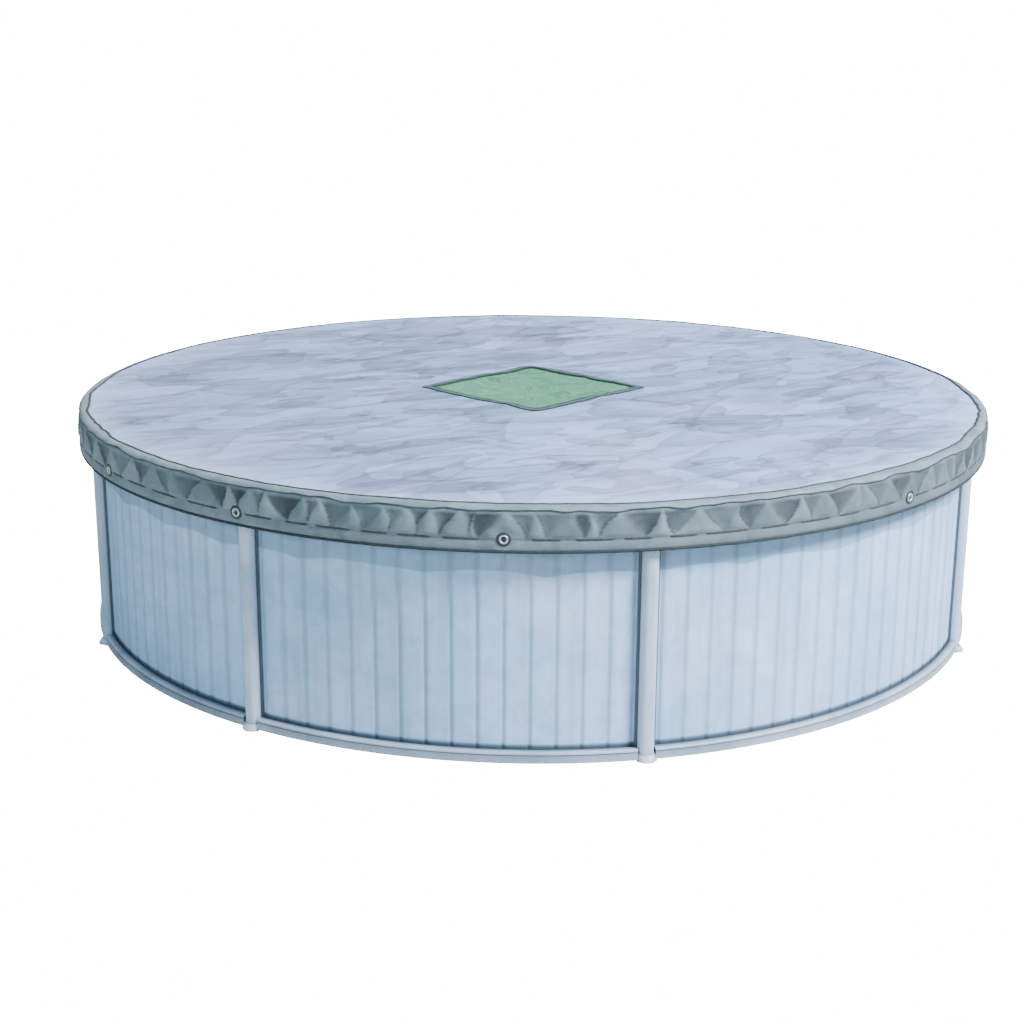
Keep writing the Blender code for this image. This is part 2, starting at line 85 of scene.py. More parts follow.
WALL_RADII, _, WALL_HEIGHTS = cad_points("wall")
WALL_R, WALL_LOW, WALL_HIGH = WALL_RADII.max(), WALL_HEIGHTS.min(), WALL_HEIGHTS.max()
RIBS = 128
RIB_START = math.radians(12.5)
RIB_DEPTH, RIB_WIDTH = 0.0045, 0.018

SKIRT_RADII, _, SKIRT_HEIGHTS = cad_points("cover_skirt")
COVER_R, HEM_LOW = SKIRT_RADII.max(), SKIRT_HEIGHTS.min()
COVER_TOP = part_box("cover_top")[1][2]
TOP_EDGE = cad_points("rim_band")[0].min()
RIM = COVER_R - TOP_EDGE
GROMMETS = numbered("grommet")
GROMMET_AZIMUTHS = [azimuth_of(n) for n in GROMMETS]
SEAM_Z = middle(GROMMETS[0]).z
EYE_R, FLANGE_R = 0.0095, 0.0225
SKIRT_HOLE, FACING_HOLE = 0.0160, 0.0140

# the cloth's thickness, the flat cloth round each eyelet, and where the skirt's pieces belong
CLOTH = 0.0012
EYELET_ROOM = 0.026
ON_SKIRT = ("cover", "cover_skirt")

PANEL_HALF = 0.645 / 2
PANEL_TURN = math.radians(2)
BINDING_HALF = 0.020

NOTCH_AZIMUTH = math.pi
NOTCH_HALF, NOTCH_TOP = 0.075 / COVER_R, 0.832
CABLE_R, CABLE_Z = 0.0025, 0.787
DRUM_R = 0.007

# distances from an upright's middle to where the painted shade line next to it is full, and where it ends
POST_SHADE_LINE = (0.0368, 0.0393)
# below this height the wall is unshaded; the wavy band of painted shadow, standing for the hem's cast shadow,
# reaches from here up under the hem
HEM_SHADOW_LOW = 0.664


# ---- mesh helpers
def polar(radius, azimuth, height):
    """Points from radius, azimuth and height, which broadcast together."""
    radius, azimuth, height = np.broadcast_arrays(radius, azimuth, height)
    return np.stack([radius * np.sin(azimuth), -radius * np.cos(azimuth), height], axis=-1)


def grid_faces(rows, cols, wrap_rows=False, wrap_cols=False):
    """Quads of a rows x cols grid of points, wrapping where asked."""
    i = np.arange(rows if wrap_rows else rows - 1)[:, None]
    j = np.arange(cols if wrap_cols else cols - 1)[None, :]
    a = i * cols + j
    b = i * cols + (j + 1) % cols
    c = (i + 1) % rows * cols + (j + 1) % cols
    d = (i + 1) % rows * cols + j
    return np.stack([a, b, c, d], axis=-1).reshape(-1, 4)


def tube_faces(rows, cols, closed=False):
    """Faces of an outline of cols points carried through rows places, with flat ends unless closed."""
    faces = grid_faces(rows, cols, wrap_rows=closed, wrap_cols=True).tolist()
    if not closed:
        faces += [list(range(cols)), list(range((rows - 1) * cols, rows * cols))[::-1]]
    return faces


def even_steps(count):
    """Angles at even steps round a whole turn."""
    return np.arange(count) / count * TURN


def turn_from(azimuth, azimuths):
    """How far azimuths lie past one azimuth, the shorter way round."""
    return (azimuths - azimuth + math.pi) % TURN - math.pi


def bays(gap, steps):
    """Each bay's number and azimuths, which stop gap degrees short of the uprights."""
    gap = math.radians(gap)
    for number, (start, end) in enumerate(zip(UPRIGHTS, UPRIGHTS[1:] + UPRIGHTS[:1]), 1):
        yield number, np.linspace(start + gap, start + (end - start) % TURN - gap, steps)


def turned(points, azimuth):
    """Points made at the front, carried round the pool to an azimuth."""
    return points.reshape(-1, 3) @ np.array(Matrix.Rotation(azimuth, 3, "Z")).T


def unit(values):
    """Values held between 0 and 1."""
    return np.clip(values, 0, 1)


def piece(name, points, faces, mat, body, slot, sharp=None):
    """A smooth mesh object that rides on a body, creased where faces meet at more than sharp degrees."""
    mesh = bpy.data.meshes.new(name)
    mesh.from_pydata(np.asarray(points).reshape(-1, 3).tolist(), [], [list(f) for f in faces])
    mesh.update()
    mesh.shade_smooth()
    if sharp:
        mesh.set_sharp_from_angle(angle=math.radians(sharp))
    obj = bpy.data.objects.new(name, mesh)
    mesh.materials.append(mat)
    bpy.context.scene.collection.objects.link(obj)
    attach(obj, body)
    return obj


def mended(obj, closed):
    """Turns a closed mesh's faces outwards, or takes away the points that no face of a sheet uses."""
    bm = bmesh.new()
    bm.from_mesh(obj.data)
    if closed:
        bmesh.ops.recalc_face_normals(bm, faces=bm.faces)
    else:
        bmesh.ops.delete(bm, geom=[v for v in bm.verts if not v.link_faces], context="VERTS")
    bm.to_mesh(obj.data)
    bm.free()
    return obj


def solid(*given, sharp=None):
    """A piece with a closed mesh."""
    return mended(piece(*given, sharp=sharp), closed=True)


def thickened(obj, thickness, offset=-1.0):
    mod = obj.modifiers.new("cloth_thickness", "SOLIDIFY")
    mod.thickness = thickness
    mod.offset = offset
    return obj


def ring_sheet(name, rows, mat, body, slot, centre=None, thick=CLOTH):
    """A sheet of closed rows, facing up or outwards, with a fan round a centre if given."""
    rows = np.asarray(rows)
    count, steps = rows.shape[:2]
    points = rows.reshape(-1, 3)
    faces = grid_faces(count, steps, wrap_cols=True)[:, ::-1].tolist()
    if centre is not None:
        points = np.concatenate([points, [centre]])
        faces += [[j, (j + 1) % steps, count * steps] for j in range(steps)]
    return thickened(piece(name, points, faces, mat, body, slot), thick)


def swept(name, profile, azimuths, mat, slot, closed=False, sharp=35):
    """A closed (radius, height) outline carried round the pool, with flat ends unless closed."""
    outline = np.array(profile)
    points = polar(outline[:, 0], azimuths[:, None], outline[:, 1])
    faces = tube_faces(len(azimuths), len(outline), closed)
    return solid(name, points, faces, mat, "pool", slot, sharp=sharp)


def cord_points(path, across, along, turn, closed):
    """Points round a cord: across is its half width out from the pool, along the one on its surface."""
    if closed:
        tangent = np.roll(path, -1, 0) - np.roll(path, 1, 0)
    else:
        tangent = np.gradient(path, axis=0)
    tangent /= np.linalg.norm(tangent, axis=1)[:, None]
    out = path * (1, 1, 0)
    out /= np.linalg.norm(out, axis=1)[:, None]
    side = np.cross(tangent, out)
    side /= np.linalg.norm(side, axis=1)[:, None]
    swell = np.ones(len(path))
    if not closed:
        swell[0] = swell[-1] = 0.35
    ring = across * np.cos(turn) * out[:, None] + along * np.sin(turn) * side[:, None]
    return (path[:, None] + ring * swell[:, None, None]).reshape(-1, 3)


def cords(name, paths, across, along, mat, body, slot, sides=8, closed=False):
    """One piece of many cords that lie against the pool's round side."""
    points, faces, count = [], [], 0
    for path in paths:
        made = cord_points(path, across, along, even_steps(sides)[None, :, None], closed)
        points.append(made)
        faces += [[v + count for v in f] for f in tube_faces(len(path), sides, closed)]
        count += len(made)
    return solid(name, np.concatenate(points), faces, mat, body, slot)


def arc(cx, cz, radius, first, last, steps):
    """Points on a round corner, angles in degrees from outward, anticlockwise."""
    angles = np.radians(np.linspace(first, last, steps + 1))
    return [(cx + radius * math.cos(a), cz + radius * math.sin(a)) for a in angles]


def bevelled(obj, width):
    mod = obj.modifiers.new("rounded_edges", "BEVEL")
    mod.width = width
    mod.segments = 2
    mod.limit_method = "ANGLE"
    mod.angle_limit = math.radians(30)


def shade(obj, name, values):
    """A number for each vertex, which materials read by name."""
    attribute = obj.data.attributes.new(name, "FLOAT", "POINT")
    attribute.data.foreach_set("value", np.asarray(values, np.float32).ravel())


def ripple(x, y, z, size):
    """Smooth noise from -1 to 1 at a point, features about size across."""
    return noise.noise(Vector((x / size, y / size, z / size)))


def around(azimuths, seed, size, height=0.0):
    """Smooth noise round the pool, features about size metres long."""
    level = height + seed * 7.3
    return np.array([ripple(COVER_R * math.sin(a), COVER_R * math.cos(a), level, size) for a in azimuths])


# ---- materials
def linear(red, green, blue, gain=1.0):
    """A display colour, 10 to 255, as scene light, made gain times brighter."""
    light = gain * ((np.array([red, green, blue]) / 255 + 0.055) / 1.055) ** 2.4
    return (*light, 1.0)


class Paint:
    """A material being put together from nodes.  Colours are display colours, 10 to 255."""

    def __init__(self, name, roughness, metallic=0.0, sheen=0.0, coat=0.0):
        self.mat = bpy.data.materials.new(name)
        self.mat.use_nodes = True
        self.tree = self.mat.node_tree
        self.shader = self.tree.nodes["Principled BSDF"]
        fixed = {"Roughness": roughness, "Metallic": metallic, "Sheen Weight": sheen, "Coat Weight": coat}
        for key, value in fixed.items():
            self.shader.inputs[key].default_value = value
        self.coords = self.node("ShaderNodeTexCoord").outputs["Object"]

    def put(self, value, socket):
        """Sets a number, a vector (a list) or a colour (a tuple), or links another node's output."""
        if isinstance(value, tuple):
            socket.default_value = linear(*value)
        elif isinstance(value, (int, float, list)):
            socket.default_value = value
        else:
            self.tree.links.new(value, socket)

    def node(self, kind, sockets=(), **settings):
        made = self.tree.nodes.new(kind)
        for key, value in settings.items():
            setattr(made, key, value)
        for key, value in dict(sockets).items():
            self.put(value, made.inputs[key])
        return made

    def stretched(self, scale, turn=0.0):
        """The coordinates turned about Z, then scaled along each axis."""
        swung = self.node("ShaderNodeMapping", {"Vector": self.coords, "Rotation": [0, 0, turn]})
        scaled = self.node("ShaderNodeMapping", {"Vector": swung.outputs["Vector"], "Scale": list(scale)})
        return scaled.outputs["Vector"]

    def cloud(self, scale, detail=3.0, rough=0.5, distortion=0.0, vector=None):
        sockets = {"Scale": scale, "Detail": detail, "Roughness": rough, "Distortion": distortion}
        sockets["Vector"] = vector or self.coords
        return self.node("ShaderNodeTexNoise", sockets).outputs["Fac"]

    def threads(self, pitch, direction, vector=None):
        """Parallel lines pitch metres apart along X, Y or Z."""
        sockets = {"Scale": TURN / 20 / pitch, "Vector": vector or self.coords}
        made = self.node("ShaderNodeTexWave", sockets, bands_direction=direction, wave_profile="SIN")
        return made.outputs["Fac"]

    def ramp(self, value, stops):
        """Colours, or numbers as greys, at places from 0 to 1."""
        made = self.node("ShaderNodeValToRGB", {"Fac": value})
        while len(made.color_ramp.elements) < len(stops):
            made.color_ramp.elements.new(0.5)
        for element, (at, colour) in zip(made.color_ramp.elements, stops):
            element.position = at
            element.color = linear(*colour) if isinstance(colour, tuple) else (colour, colour, colour, 1)
        return made.outputs["Color"]

    def mottled(self, dark, light, scale, detail=4, rough=0.5, distortion=0.0):
        """A colour that drifts between two."""
        return self.ramp(self.cloud(scale, detail, rough, distortion), [(0.35, dark), (0.65, light)])

    def attribute(self, name):
        return self.node("ShaderNodeAttribute", attribute_name=name).outputs["Fac"]

    def maths(self, operation, a, b):
        return self.node("ShaderNodeMath", {0: a, 1: b}, operation=operation).outputs["Value"]

    def mix(self, base, other, amount, blend="MIX"):
        sockets = {6: base, 7: other, 0: amount}
        return self.node("ShaderNodeMix", sockets, data_type="RGBA", blend_type=blend).outputs[2]

    def colour(self, source):
        self.put(source, self.shader.inputs["Base Color"])

    def over(self, colour, amount, blend="MIX"):
        """Lays a colour over the one so far, by an amount or by a value kept on the vertices."""
        if isinstance(amount, str):
            amount = self.attribute(amount)
        base = self.shader.inputs["Base Color"].links[0].from_socket
        self.colour(self.mix(base, colour, amount, blend))

    def rough(self, source, low, high):
        made = self.node("ShaderNodeMapRange", {"Value": source, "To Min": low, "To Max": high})
        self.put(made.outputs["Result"], self.shader.inputs["Roughness"])

    def bump(self, height, strength, distance):
        made = self.node("ShaderNodeBump", {"Strength": strength, "Distance": distance, "Height": height})
        normal = self.shader.inputs["Normal"]
        if normal.links:
            self.put(normal.links[0].from_socket, made.inputs["Normal"])
        self.put(made.outputs["Normal"], normal)

    def crossed(self, pitch):
        """Threads both ways, square with the drain panel."""
        square = self.stretched((1, 1, 1), math.radians(45) - PANEL_TURN)
        return self.maths("MAXIMUM", self.threads(pitch, "X", square), self.threads(pitch, "Y", square))

    def weave(self, first, second):
        """Fine crossed threads, as a bump."""
        both = self.maths("ADD", self.threads(0.0022, first), self.threads(0.0022, second))
        self.bump(both, 0.12, 0.0004)


def cover_cloth():
    """Coated woven sheet with painted shade of long slanting creases, each crisp along its edge and fading
    inwards.
    """
    paint = Paint("cover_cloth", 0.70, sheen=0.08)
    broad = paint.cloud(0.9, 3, 0.5, 0.8)
    tones = [(0.36, (144, 174, 224)), (0.52, (158, 187, 238)), (0.66, (176, 200, 252))]
    paint.colour(paint.ramp(broad, tones))
    # painted shade of creases: size, direction, stretch, where the crease starts, its tone and how far it
    # fades
    layers = [
        (1.10, -36, (0.80, 1.9, 1.0), 0.505, 0.60, 0.15), (1.70, -20, (0.75, 2.0, 1.0), 0.530, 0.54, 0.11),
        (2.20, -46, (0.75, 1.9, 1.0), 0.540, 0.58, 0.10), (3.00, -30, (0.68, 2.1, 1.0), 0.520, 0.62, 0.10),
        (4.40, -12, (0.65, 2.1, 1.0), 0.540, 0.70, 0.08),
    ]
    for scale, turn, stretch, edge, tone, fade in layers:
        field = paint.cloud(scale, 1.6, 0.45, 0.5, paint.stretched(stretch, math.radians(turn)))
        stops = [(edge, 1.0), (edge + 0.004, 0.86 * tone), (edge + 0.012, tone + 0.05),
                 (edge + 0.6 * fade, 0.5 + tone / 2), (edge + fade, 0.97)]
        paint.over(paint.ramp(field, stops), 0.85, "MULTIPLY")
    paint.over((158, 148, 186), paint.ramp(paint.cloud(1.3, 2, 0.5, 0.8), [(0.54, 0.0), (0.70, 0.28)]))
    # painted shade where the sheet sits low
    paint.over((84, 102, 134), paint.ramp(paint.attribute("hollow"), [(0.55, 0.0), (1.0, 0.6)]))
    # painted highlight: a lighter band round the sheet's edge
    paint.over((200, 216, 250), "margin")
    paint.rough(paint.cloud(9, 3), 0.60, 0.78)
    paint.weave("X", "Y")
    paint.bump(paint.cloud(26, 4, 0.55, 0.8), 0.2, 0.003)
    return paint.mat


def skirt_cloth():
    """The same sheet in grey-green, with painted shade in its folds, along its creases and down one side."""
    paint = Paint("skirt_cloth", 0.74, sheen=0.06)
    light = paint.mottled((104, 125, 132), (132, 152, 161), 7, 4, 0.6, 1.0)
    dark = paint.mottled((38, 50, 54), (56, 70, 74), 16, 4, 0.6, 0.8)
    paint.colour(light)
    # painted shade: the skirt darker down one side, towards +X
    paint.over((38, 50, 54), "painted_side_shade")
    # painted shade in the folds
    paint.over(dark, "hollow")
    # painted shade along the creases' edges
    paint.over((30, 40, 42), "crease")
    paint.rough(paint.cloud(14, 3), 0.64, 0.82)
    paint.weave("X", "Z")
    paint.bump(paint.cloud(40, 4, 0.6), 0.22, 0.003)
    return paint.mat


def rim_cloth():
    paint = Paint("rim_cloth", 0.68, sheen=0.1)
    paint.colour(paint.ramp(paint.cloud(6, 4, 0.6, 1.0), [(0.34, (100, 120, 126)), (0.66, (132, 150, 160))]))
    paint.weave("X", "Y")
    paint.bump(paint.cloud(34, 4, 0.6), 0.25, 0.003)
    return paint.mat


def drain_weave():
    """Open green weave, with water marks that fade across and each end in a crisp edge."""
    paint = Paint("drain_weave", 0.75)
    field = paint.cloud(5, 3, 0.55, 1.4)
    tones = [((84, 150, 116), (66, 132, 98)), ((104, 172, 136), (84, 150, 114)),
             ((98, 166, 130), (78, 146, 108)), ((110, 178, 142), (90, 158, 122))]
    stops = []
    for k, (start, end) in enumerate(tones):
        stops += [(0.34 + 0.085 * k, start), (0.34 + 0.085 * (k + 0.9), end)]
    base = paint.ramp(field, stops)
    strands = paint.crossed(0.0052)
    # painted shade: darker in the gaps between the threads
    paint.colour(paint.mix((40, 88, 64), base, paint.ramp(strands, [(0.30, 0.35), (0.70, 1.0)])))
    paint.bump(strands, 0.5, 0.0012)
    paint.bump(paint.cloud(18, 3), 0.25, 0.005)
    return paint.mat


def webbing_tape():
    """Woven tape: dark along both edges and paler between."""
    paint = Paint("webbing_tape", 0.82)
    inner = paint.mottled((28, 46, 42), (40, 60, 54), 24)
    outer = paint.mottled((66, 92, 92), (84, 112, 112), 24)
    between = [(0.30, 0.0), (0.36, 1.0), (0.80, 1.0), (0.86, 0.0)]
    base = paint.mix(inner, outer, paint.ramp(paint.attribute("outer"), between))
    ribs = paint.crossed(0.003)
    # painted shade: darker between the ribs
    paint.colour(paint.mix((40, 56, 52), base, paint.ramp(ribs, [(0.1, 0.6), (0.5, 1.0)])))
    paint.bump(ribs, 0.4, 0.0006)
    return paint.mat


def dark_cord(name, colour, roughness=0.7):
    """Twisted thread or coated cord."""
    paint = Paint(name, roughness)
    paint.colour(paint.ramp(paint.cloud(60, 3), [(0.35, colour), (0.7, (*colour, 1.7))]))
    paint.bump(paint.cloud(400, 2), 0.3, 0.0006)
    return paint.mat


def wall_enamel():
    """Pale blue baked enamel with faint washes, runs down the ribs, painted shade in the grooves, next to the
    posts and along the foot, and a wavy painted shadow band under the hem.
    """
    paint = Paint("wall_enamel", 0.55, coat=0.04)
    broad = paint.cloud(1.5, 3, 0.55, 0.7)
    tones = [(0.34, (154, 198, 238)), (0.52, (170, 209, 251)), (0.68, (188, 217, 255))]
    paint.colour(paint.ramp(broad, tones))
    runs = paint.cloud(3.0, 5, 0.62, 0.2, paint.stretched((4, 4, 0.3)))
    paint.over((128, 168, 196), paint.ramp(runs, [(0.48, 0.0), (0.66, 0.4)]))
    paint.over((132, 168, 190), paint.ramp(paint.cloud(13, 4, 0.6, 0.6), [(0.42, 0.0), (0.62, 0.28)]))
    # painted shade in the ribs' grooves
    paint.over((98, 136, 156), "groove")
    # painted shadow: a wavy darker band standing for the hem's cast shadow
    paint.over((84, 122, 140), "painted_hem_shadow")
    # painted shade next to the posts, along the wall's foot and high up under the hem
    paint.over((46, 58, 66), "painted_shade")
    paint.rough(paint.cloud(6, 4), 0.46, 0.64)
    paint.bump(paint.cloud(7, 3), 0.10, 0.005)
    paint.bump(paint.cloud(260, 2), 0.05, 0.0006)
    return paint.mat


def trim_enamel(name, dark, light):
    """Pale powder coat on the uprights, track and rails, with painted shade where they meet other parts."""
    paint = Paint(name, 0.4, coat=0.1)
    broad = paint.cloud(4, 4, 0.6, 0.6, paint.stretched((1, 1, 0.4)))
    paint.colour(paint.ramp(broad, [(0.36, dark), (0.62, light)]))
    paint.over((112, 124, 128), paint.ramp(paint.cloud(90, 3, 0.7), [(0.63, 0.0), (0.78, 0.4)]))
    # painted shade in corners and where parts meet
    paint.over((50, 62, 70), "painted_shade")
    paint.rough(paint.cloud(11, 3), 0.34, 0.55)
    paint.bump(paint.cloud(420, 2), 0.06, 0.0004)
    return paint.mat


def cap_resin():
    paint = Paint("cap_resin", 0.5)
    paint.colour(paint.mottled((140, 152, 162), (168, 178, 188), 9, 3))
    paint.bump(paint.cloud(520, 2), 0.12, 0.0004)
    return paint.mat


def liner_vinyl():
    """Printed blue vinyl: soft pebbles of light and dark blue."""
    paint = Paint("liner_vinyl", 0.28, coat=0.2)
    cells = paint.node("ShaderNodeTexVoronoi", {"Vector": paint.coords, "Scale": 16}, feature="SMOOTH_F1")
    pebbles = [(0.05, (140, 198, 218)), (0.4, (86, 158, 192)), (0.7, (56, 126, 168))]
    paint.colour(paint.ramp(cells.outputs["Distance"], pebbles))
    paint.over((112, 176, 200), paint.ramp(paint.cloud(3, 3), [(0.4, 0.0), (0.7, 0.6)]))
    paint.bump(paint.cloud(30, 3), 0.1, 0.002)
    return paint.mat


def bright_metal(name, light, dark, roughness=0.32):
    """Plated metal with fine brushing and dull patches."""
    paint = Paint(name, roughness, metallic=1.0)
    paint.colour(paint.mottled(dark, light, 120, 4, 0.6))
    paint.rough(paint.cloud(200, 3), roughness - 0.08, roughness + 0.16)
    paint.bump(paint.cloud(900, 2), 0.1, 0.0003)
    return paint.mat


# ---- the cover's top
def rise(x, y):
    """How far the sheet stands above its rest level at a point: long shallow creases."""
    radius = math.hypot(x, y)
    warp = 0.14 * ripple(x, y, 3.1, 0.45)
    broad = ripple(x + warp, y - warp, 0.0, 0.40)
    crease = max(1 - abs(ripple(x * 0.8 + warp, y * 1.3 - warp, 5.2, 0.30)) * 2.6, 0.0) ** 2
    fine = max(1 - abs(ripple(x * 1.2 - warp, y + warp, 9.7, 0.13)) * 3.0, 0.0) ** 2
    lift = 0.0040 * broad + 0.0052 * crease + 0.0020 * fine
    edge = min(1.0, max(0.0, (TOP_EDGE - radius) / 0.09))
    if radius > TOP_EDGE - 0.14:
        lift = max(lift, 0.0)
    return edge * lift


RISE = np.vectorize(rise)


def on_cover(radii, azimuths, lift=0.0):
    """Points on the creased top sheet, or lift metres above it."""
    points = polar(radii, azimuths, COVER_TOP + lift)
    points[..., 2] += RISE(points[..., 0], points[..., 1])
    return points


def panel_radius(azimuths, half_side):
    """Radius of the drain panel's turned square, blunter at its front and back corners."""
    quarters = (azimuths - PANEL_TURN) / (math.pi / 2)
    corner = np.round(quarters)
    blunt = np.where(corner % 2 == 0, 16.0, 48.0)
    from_side = math.pi / 4 - np.abs(quarters - corner) * math.pi / 2
    spread = np.abs(np.cos(from_side)) ** blunt + np.abs(np.sin(from_side)) ** blunt
    return half_side / spread ** (1 / blunt)


def cover_top(mat):
    """The round sheet, from the drain panel's window out to the rim band."""
    azimuths = even_steps(640)
    window = panel_radius(azimuths, PANEL_HALF)
    share = np.linspace(0, 1, 66)[:, None]
    radii = window + (TOP_EDGE + 0.002 - window) * share
    points = on_cover(radii, azimuths)
    obj = ring_sheet("cover_top_sheet", points, mat, "cover", "cover_sheet")
    # painted shade: darker where the creased sheet sits low
    shade(obj, "hollow", unit(0.5 - (points[..., 2] - COVER_TOP) * 90))
    # painted highlight: a lighter band of wandering width round the edge
    edge = 0.13 + 0.05 * around(azimuths, 51, 0.4)
    shade(obj, "margin", 0.55 * unit(1 - (TOP_EDGE - radii) / edge))
    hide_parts("cover_top")
    return obj


def drain_panel(mat):
    """The mesh square, sagging a little between its edges."""
    azimuths = even_steps(320)
    share = np.linspace(0.02, 1, 36)[:, None]
    edge = panel_radius(azimuths, PANEL_HALF + 0.004)
    below, sag = 0.0015, 0.005 * (1 - share ** 2)
    points = on_cover(share * edge, azimuths, -below - sag)
    centre = (0, 0, COVER_TOP - below + rise(0, 0) - 0.005)
    obj = ring_sheet("drain_panel_mesh", points, mat, "cover", "drain_mesh", centre, 0.0010)
    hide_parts("drain_panel")
    return obj


def panel_binding(mat):
    """Webbing sewn over the joint round the drain panel, with a rounded back."""
    azimuths = even_steps(480)
    rows, outer = [], []
    for share in np.linspace(-1, 1, 11):
        crown = 0.0016 * (1 - share ** 6) + 0.0002 * around(azimuths, share, 0.05)
        radii = panel_radius(azimuths, PANEL_HALF + share * BINDING_HALF)
        rows.append(on_cover(radii, azimuths, 0.0024 + crown))
        outer.append(np.full(len(azimuths), (share + 1) / 2))
    obj = ring_sheet("panel_binding_tape", rows, mat, "cover", "webbing")
    shade(obj, "outer", outer)
    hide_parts("panel_binding")
    return obj


def binding_stitches(mat):
    """Two rows of running stitch in the webbing."""
    paths = []
    count = int(8 * PANEL_HALF / 0.009)
    for share in (-0.72, 0.72):
        for k in range(count):
            ends = (k + np.array([0.12, 0.37, 0.62])) / count * TURN
            radii = panel_radius(ends, PANEL_HALF + share * BINDING_HALF)
            paths.append(on_cover(radii, ends, 0.0042 + np.array([0, 0.0005, 0])))
    return cords("binding_stitches", paths, 0.0007, 0.0007, mat, "cover", "webbing", sides=5)


# ---- the cover's side
FOLD_STEPS = 3000
RIM_STEPS = 1200
PLEATS = 112


def skirt_azimuths():
    """Even steps, with one moved to each side of the winch's notch."""
    azimuths = even_steps(FOLD_STEPS)
    for edge in (NOTCH_AZIMUTH - NOTCH_HALF, NOTCH_AZIMUTH + NOTCH_HALF):
        azimuths[np.abs(azimuths - edge).argmin()] = edge
    return azimuths


def fold_profile():
    """(radius, height) down the pleats, from under the rim band round the corner to the seam."""
    corner = arc(TOP_EDGE, COVER_TOP - RIM, RIM, 46, 0, 4)
    straight = [(COVER_R, z) for z in np.linspace(COVER_TOP - RIM, SEAM_Z, 21)[1:]]
    return np.array(corner + straight)


def clear_of_eyelets(azimuths, height, near, far):
    """0 at each eyelet and 1 away from it."""
    reach = np.full(np.broadcast(azimuths, height).shape, 1.0)
    for azimuth in GROMMET_AZIMUTHS:
        along = turn_from(azimuth, azimuths) * COVER_R
        distance = np.hypot(along, height - SEAM_Z)
        reach = np.minimum(reach, unit((distance - near) / (far - near)))
    return reach


def pleats(azimuths, share):
    """Depth, painted shade and painted crease line of V-shaped tucks, share 0 at the rim and 1 at the seam.

    Crease lines zigzag between the rim and the seam.  Each V that hangs from the rim sinks in, with painted
    shade that deepens towards one edge; the cloth between two of them stands out."""
    sunk, raised, deepest, line = -0.8, 0.9, 0.0075, 0.004
    pick = np.random.default_rng(19)
    spaces = pick.uniform(0.05, 1.0, 2 * PLEATS)
    knots = np.concatenate([[0], np.cumsum(spaces)]) / spaces.sum() * TURN
    bow = pick.uniform(-0.016, 0.016, 2 * PLEATS) / COVER_R
    side = pick.integers(0, 2, 2 * PLEATS)
    even = np.arange(2 * PLEATS) % 2 == 0
    # how much painted shade each pleat gets: much in the sunken Vs, little between them
    fold_shade = np.where(even, pick.uniform(0.55, 1.25, 2 * PLEATS), pick.uniform(0.0, 0.75, 2 * PLEATS) ** 2)
    depth, dark, crease = [], [], []
    for h in share:
        lines = np.where(even, knots[:-1] + h * np.diff(knots), knots[1:] - h * np.diff(knots))
        lines = np.maximum.accumulate(lines + bow * math.sin(math.pi * h))
        wobble = 0.009 / COVER_R * around(azimuths, 60, 0.045, 0.08 * h)
        at = (azimuths + wobble - lines[0]) % TURN + lines[0]
        k = np.clip(np.searchsorted(lines, at, side="right") - 1, 0, len(lines) - 1)
        ends = np.append(lines, lines[0] + TURN)
        width = np.maximum(ends[k + 1] - ends[k], 1e-6)
        across = unit((at - ends[k]) / width)
        from_edge = np.where(side[k] == 0, across, 1 - across)
        size = np.minimum(deepest, 0.16 * width * COVER_R)
        hump = np.sin(math.pi * across ** 0.8)
        depth.append(np.where(k % 2 == 0, sunk, raised) * size * hump)
        # painted shade over the pleat, deepening towards its crisp edge, and a painted dark line along each
        # crease
        dark.append(np.minimum(fold_shade[k] * (1 - 0.35 * from_edge), 1))
        crease.append(np.exp(-from_edge * width * COVER_R / line) * np.where(k % 2 == 0, 1.0, 0.4))
    return softened(depth, 3), softened(dark, 1), softened(crease, 1)


def softened(rows, times):
    """Each row blended a little with its neighbours to both sides."""
    rows = np.array(rows)
    for _ in range(times):
        rows = (np.roll(rows, 1, axis=1) + 2 * rows + np.roll(rows, -1, axis=1)) / 4
    return rows


def cut_faces(points, half_notch, hole):
    """The faces of closed rows of points that lie outside the winch's notch and the eyelets' holes."""
    faces = grid_faces(*points.shape[:2], wrap_cols=True)
    centres = points.reshape(-1, 3)[faces].mean(axis=1)
    bearing = np.arctan2(centres[:, 0], -centres[:, 1]) % TURN
    in_notch = (np.abs(bearing - NOTCH_AZIMUTH) < half_notch) & (centres[:, 2] < NOTCH_TOP)
    in_hole = clear_of_eyelets(bearing, centres[:, 2], hole, hole + 0.0001) == 0
    return faces[~(in_notch | in_hole)]


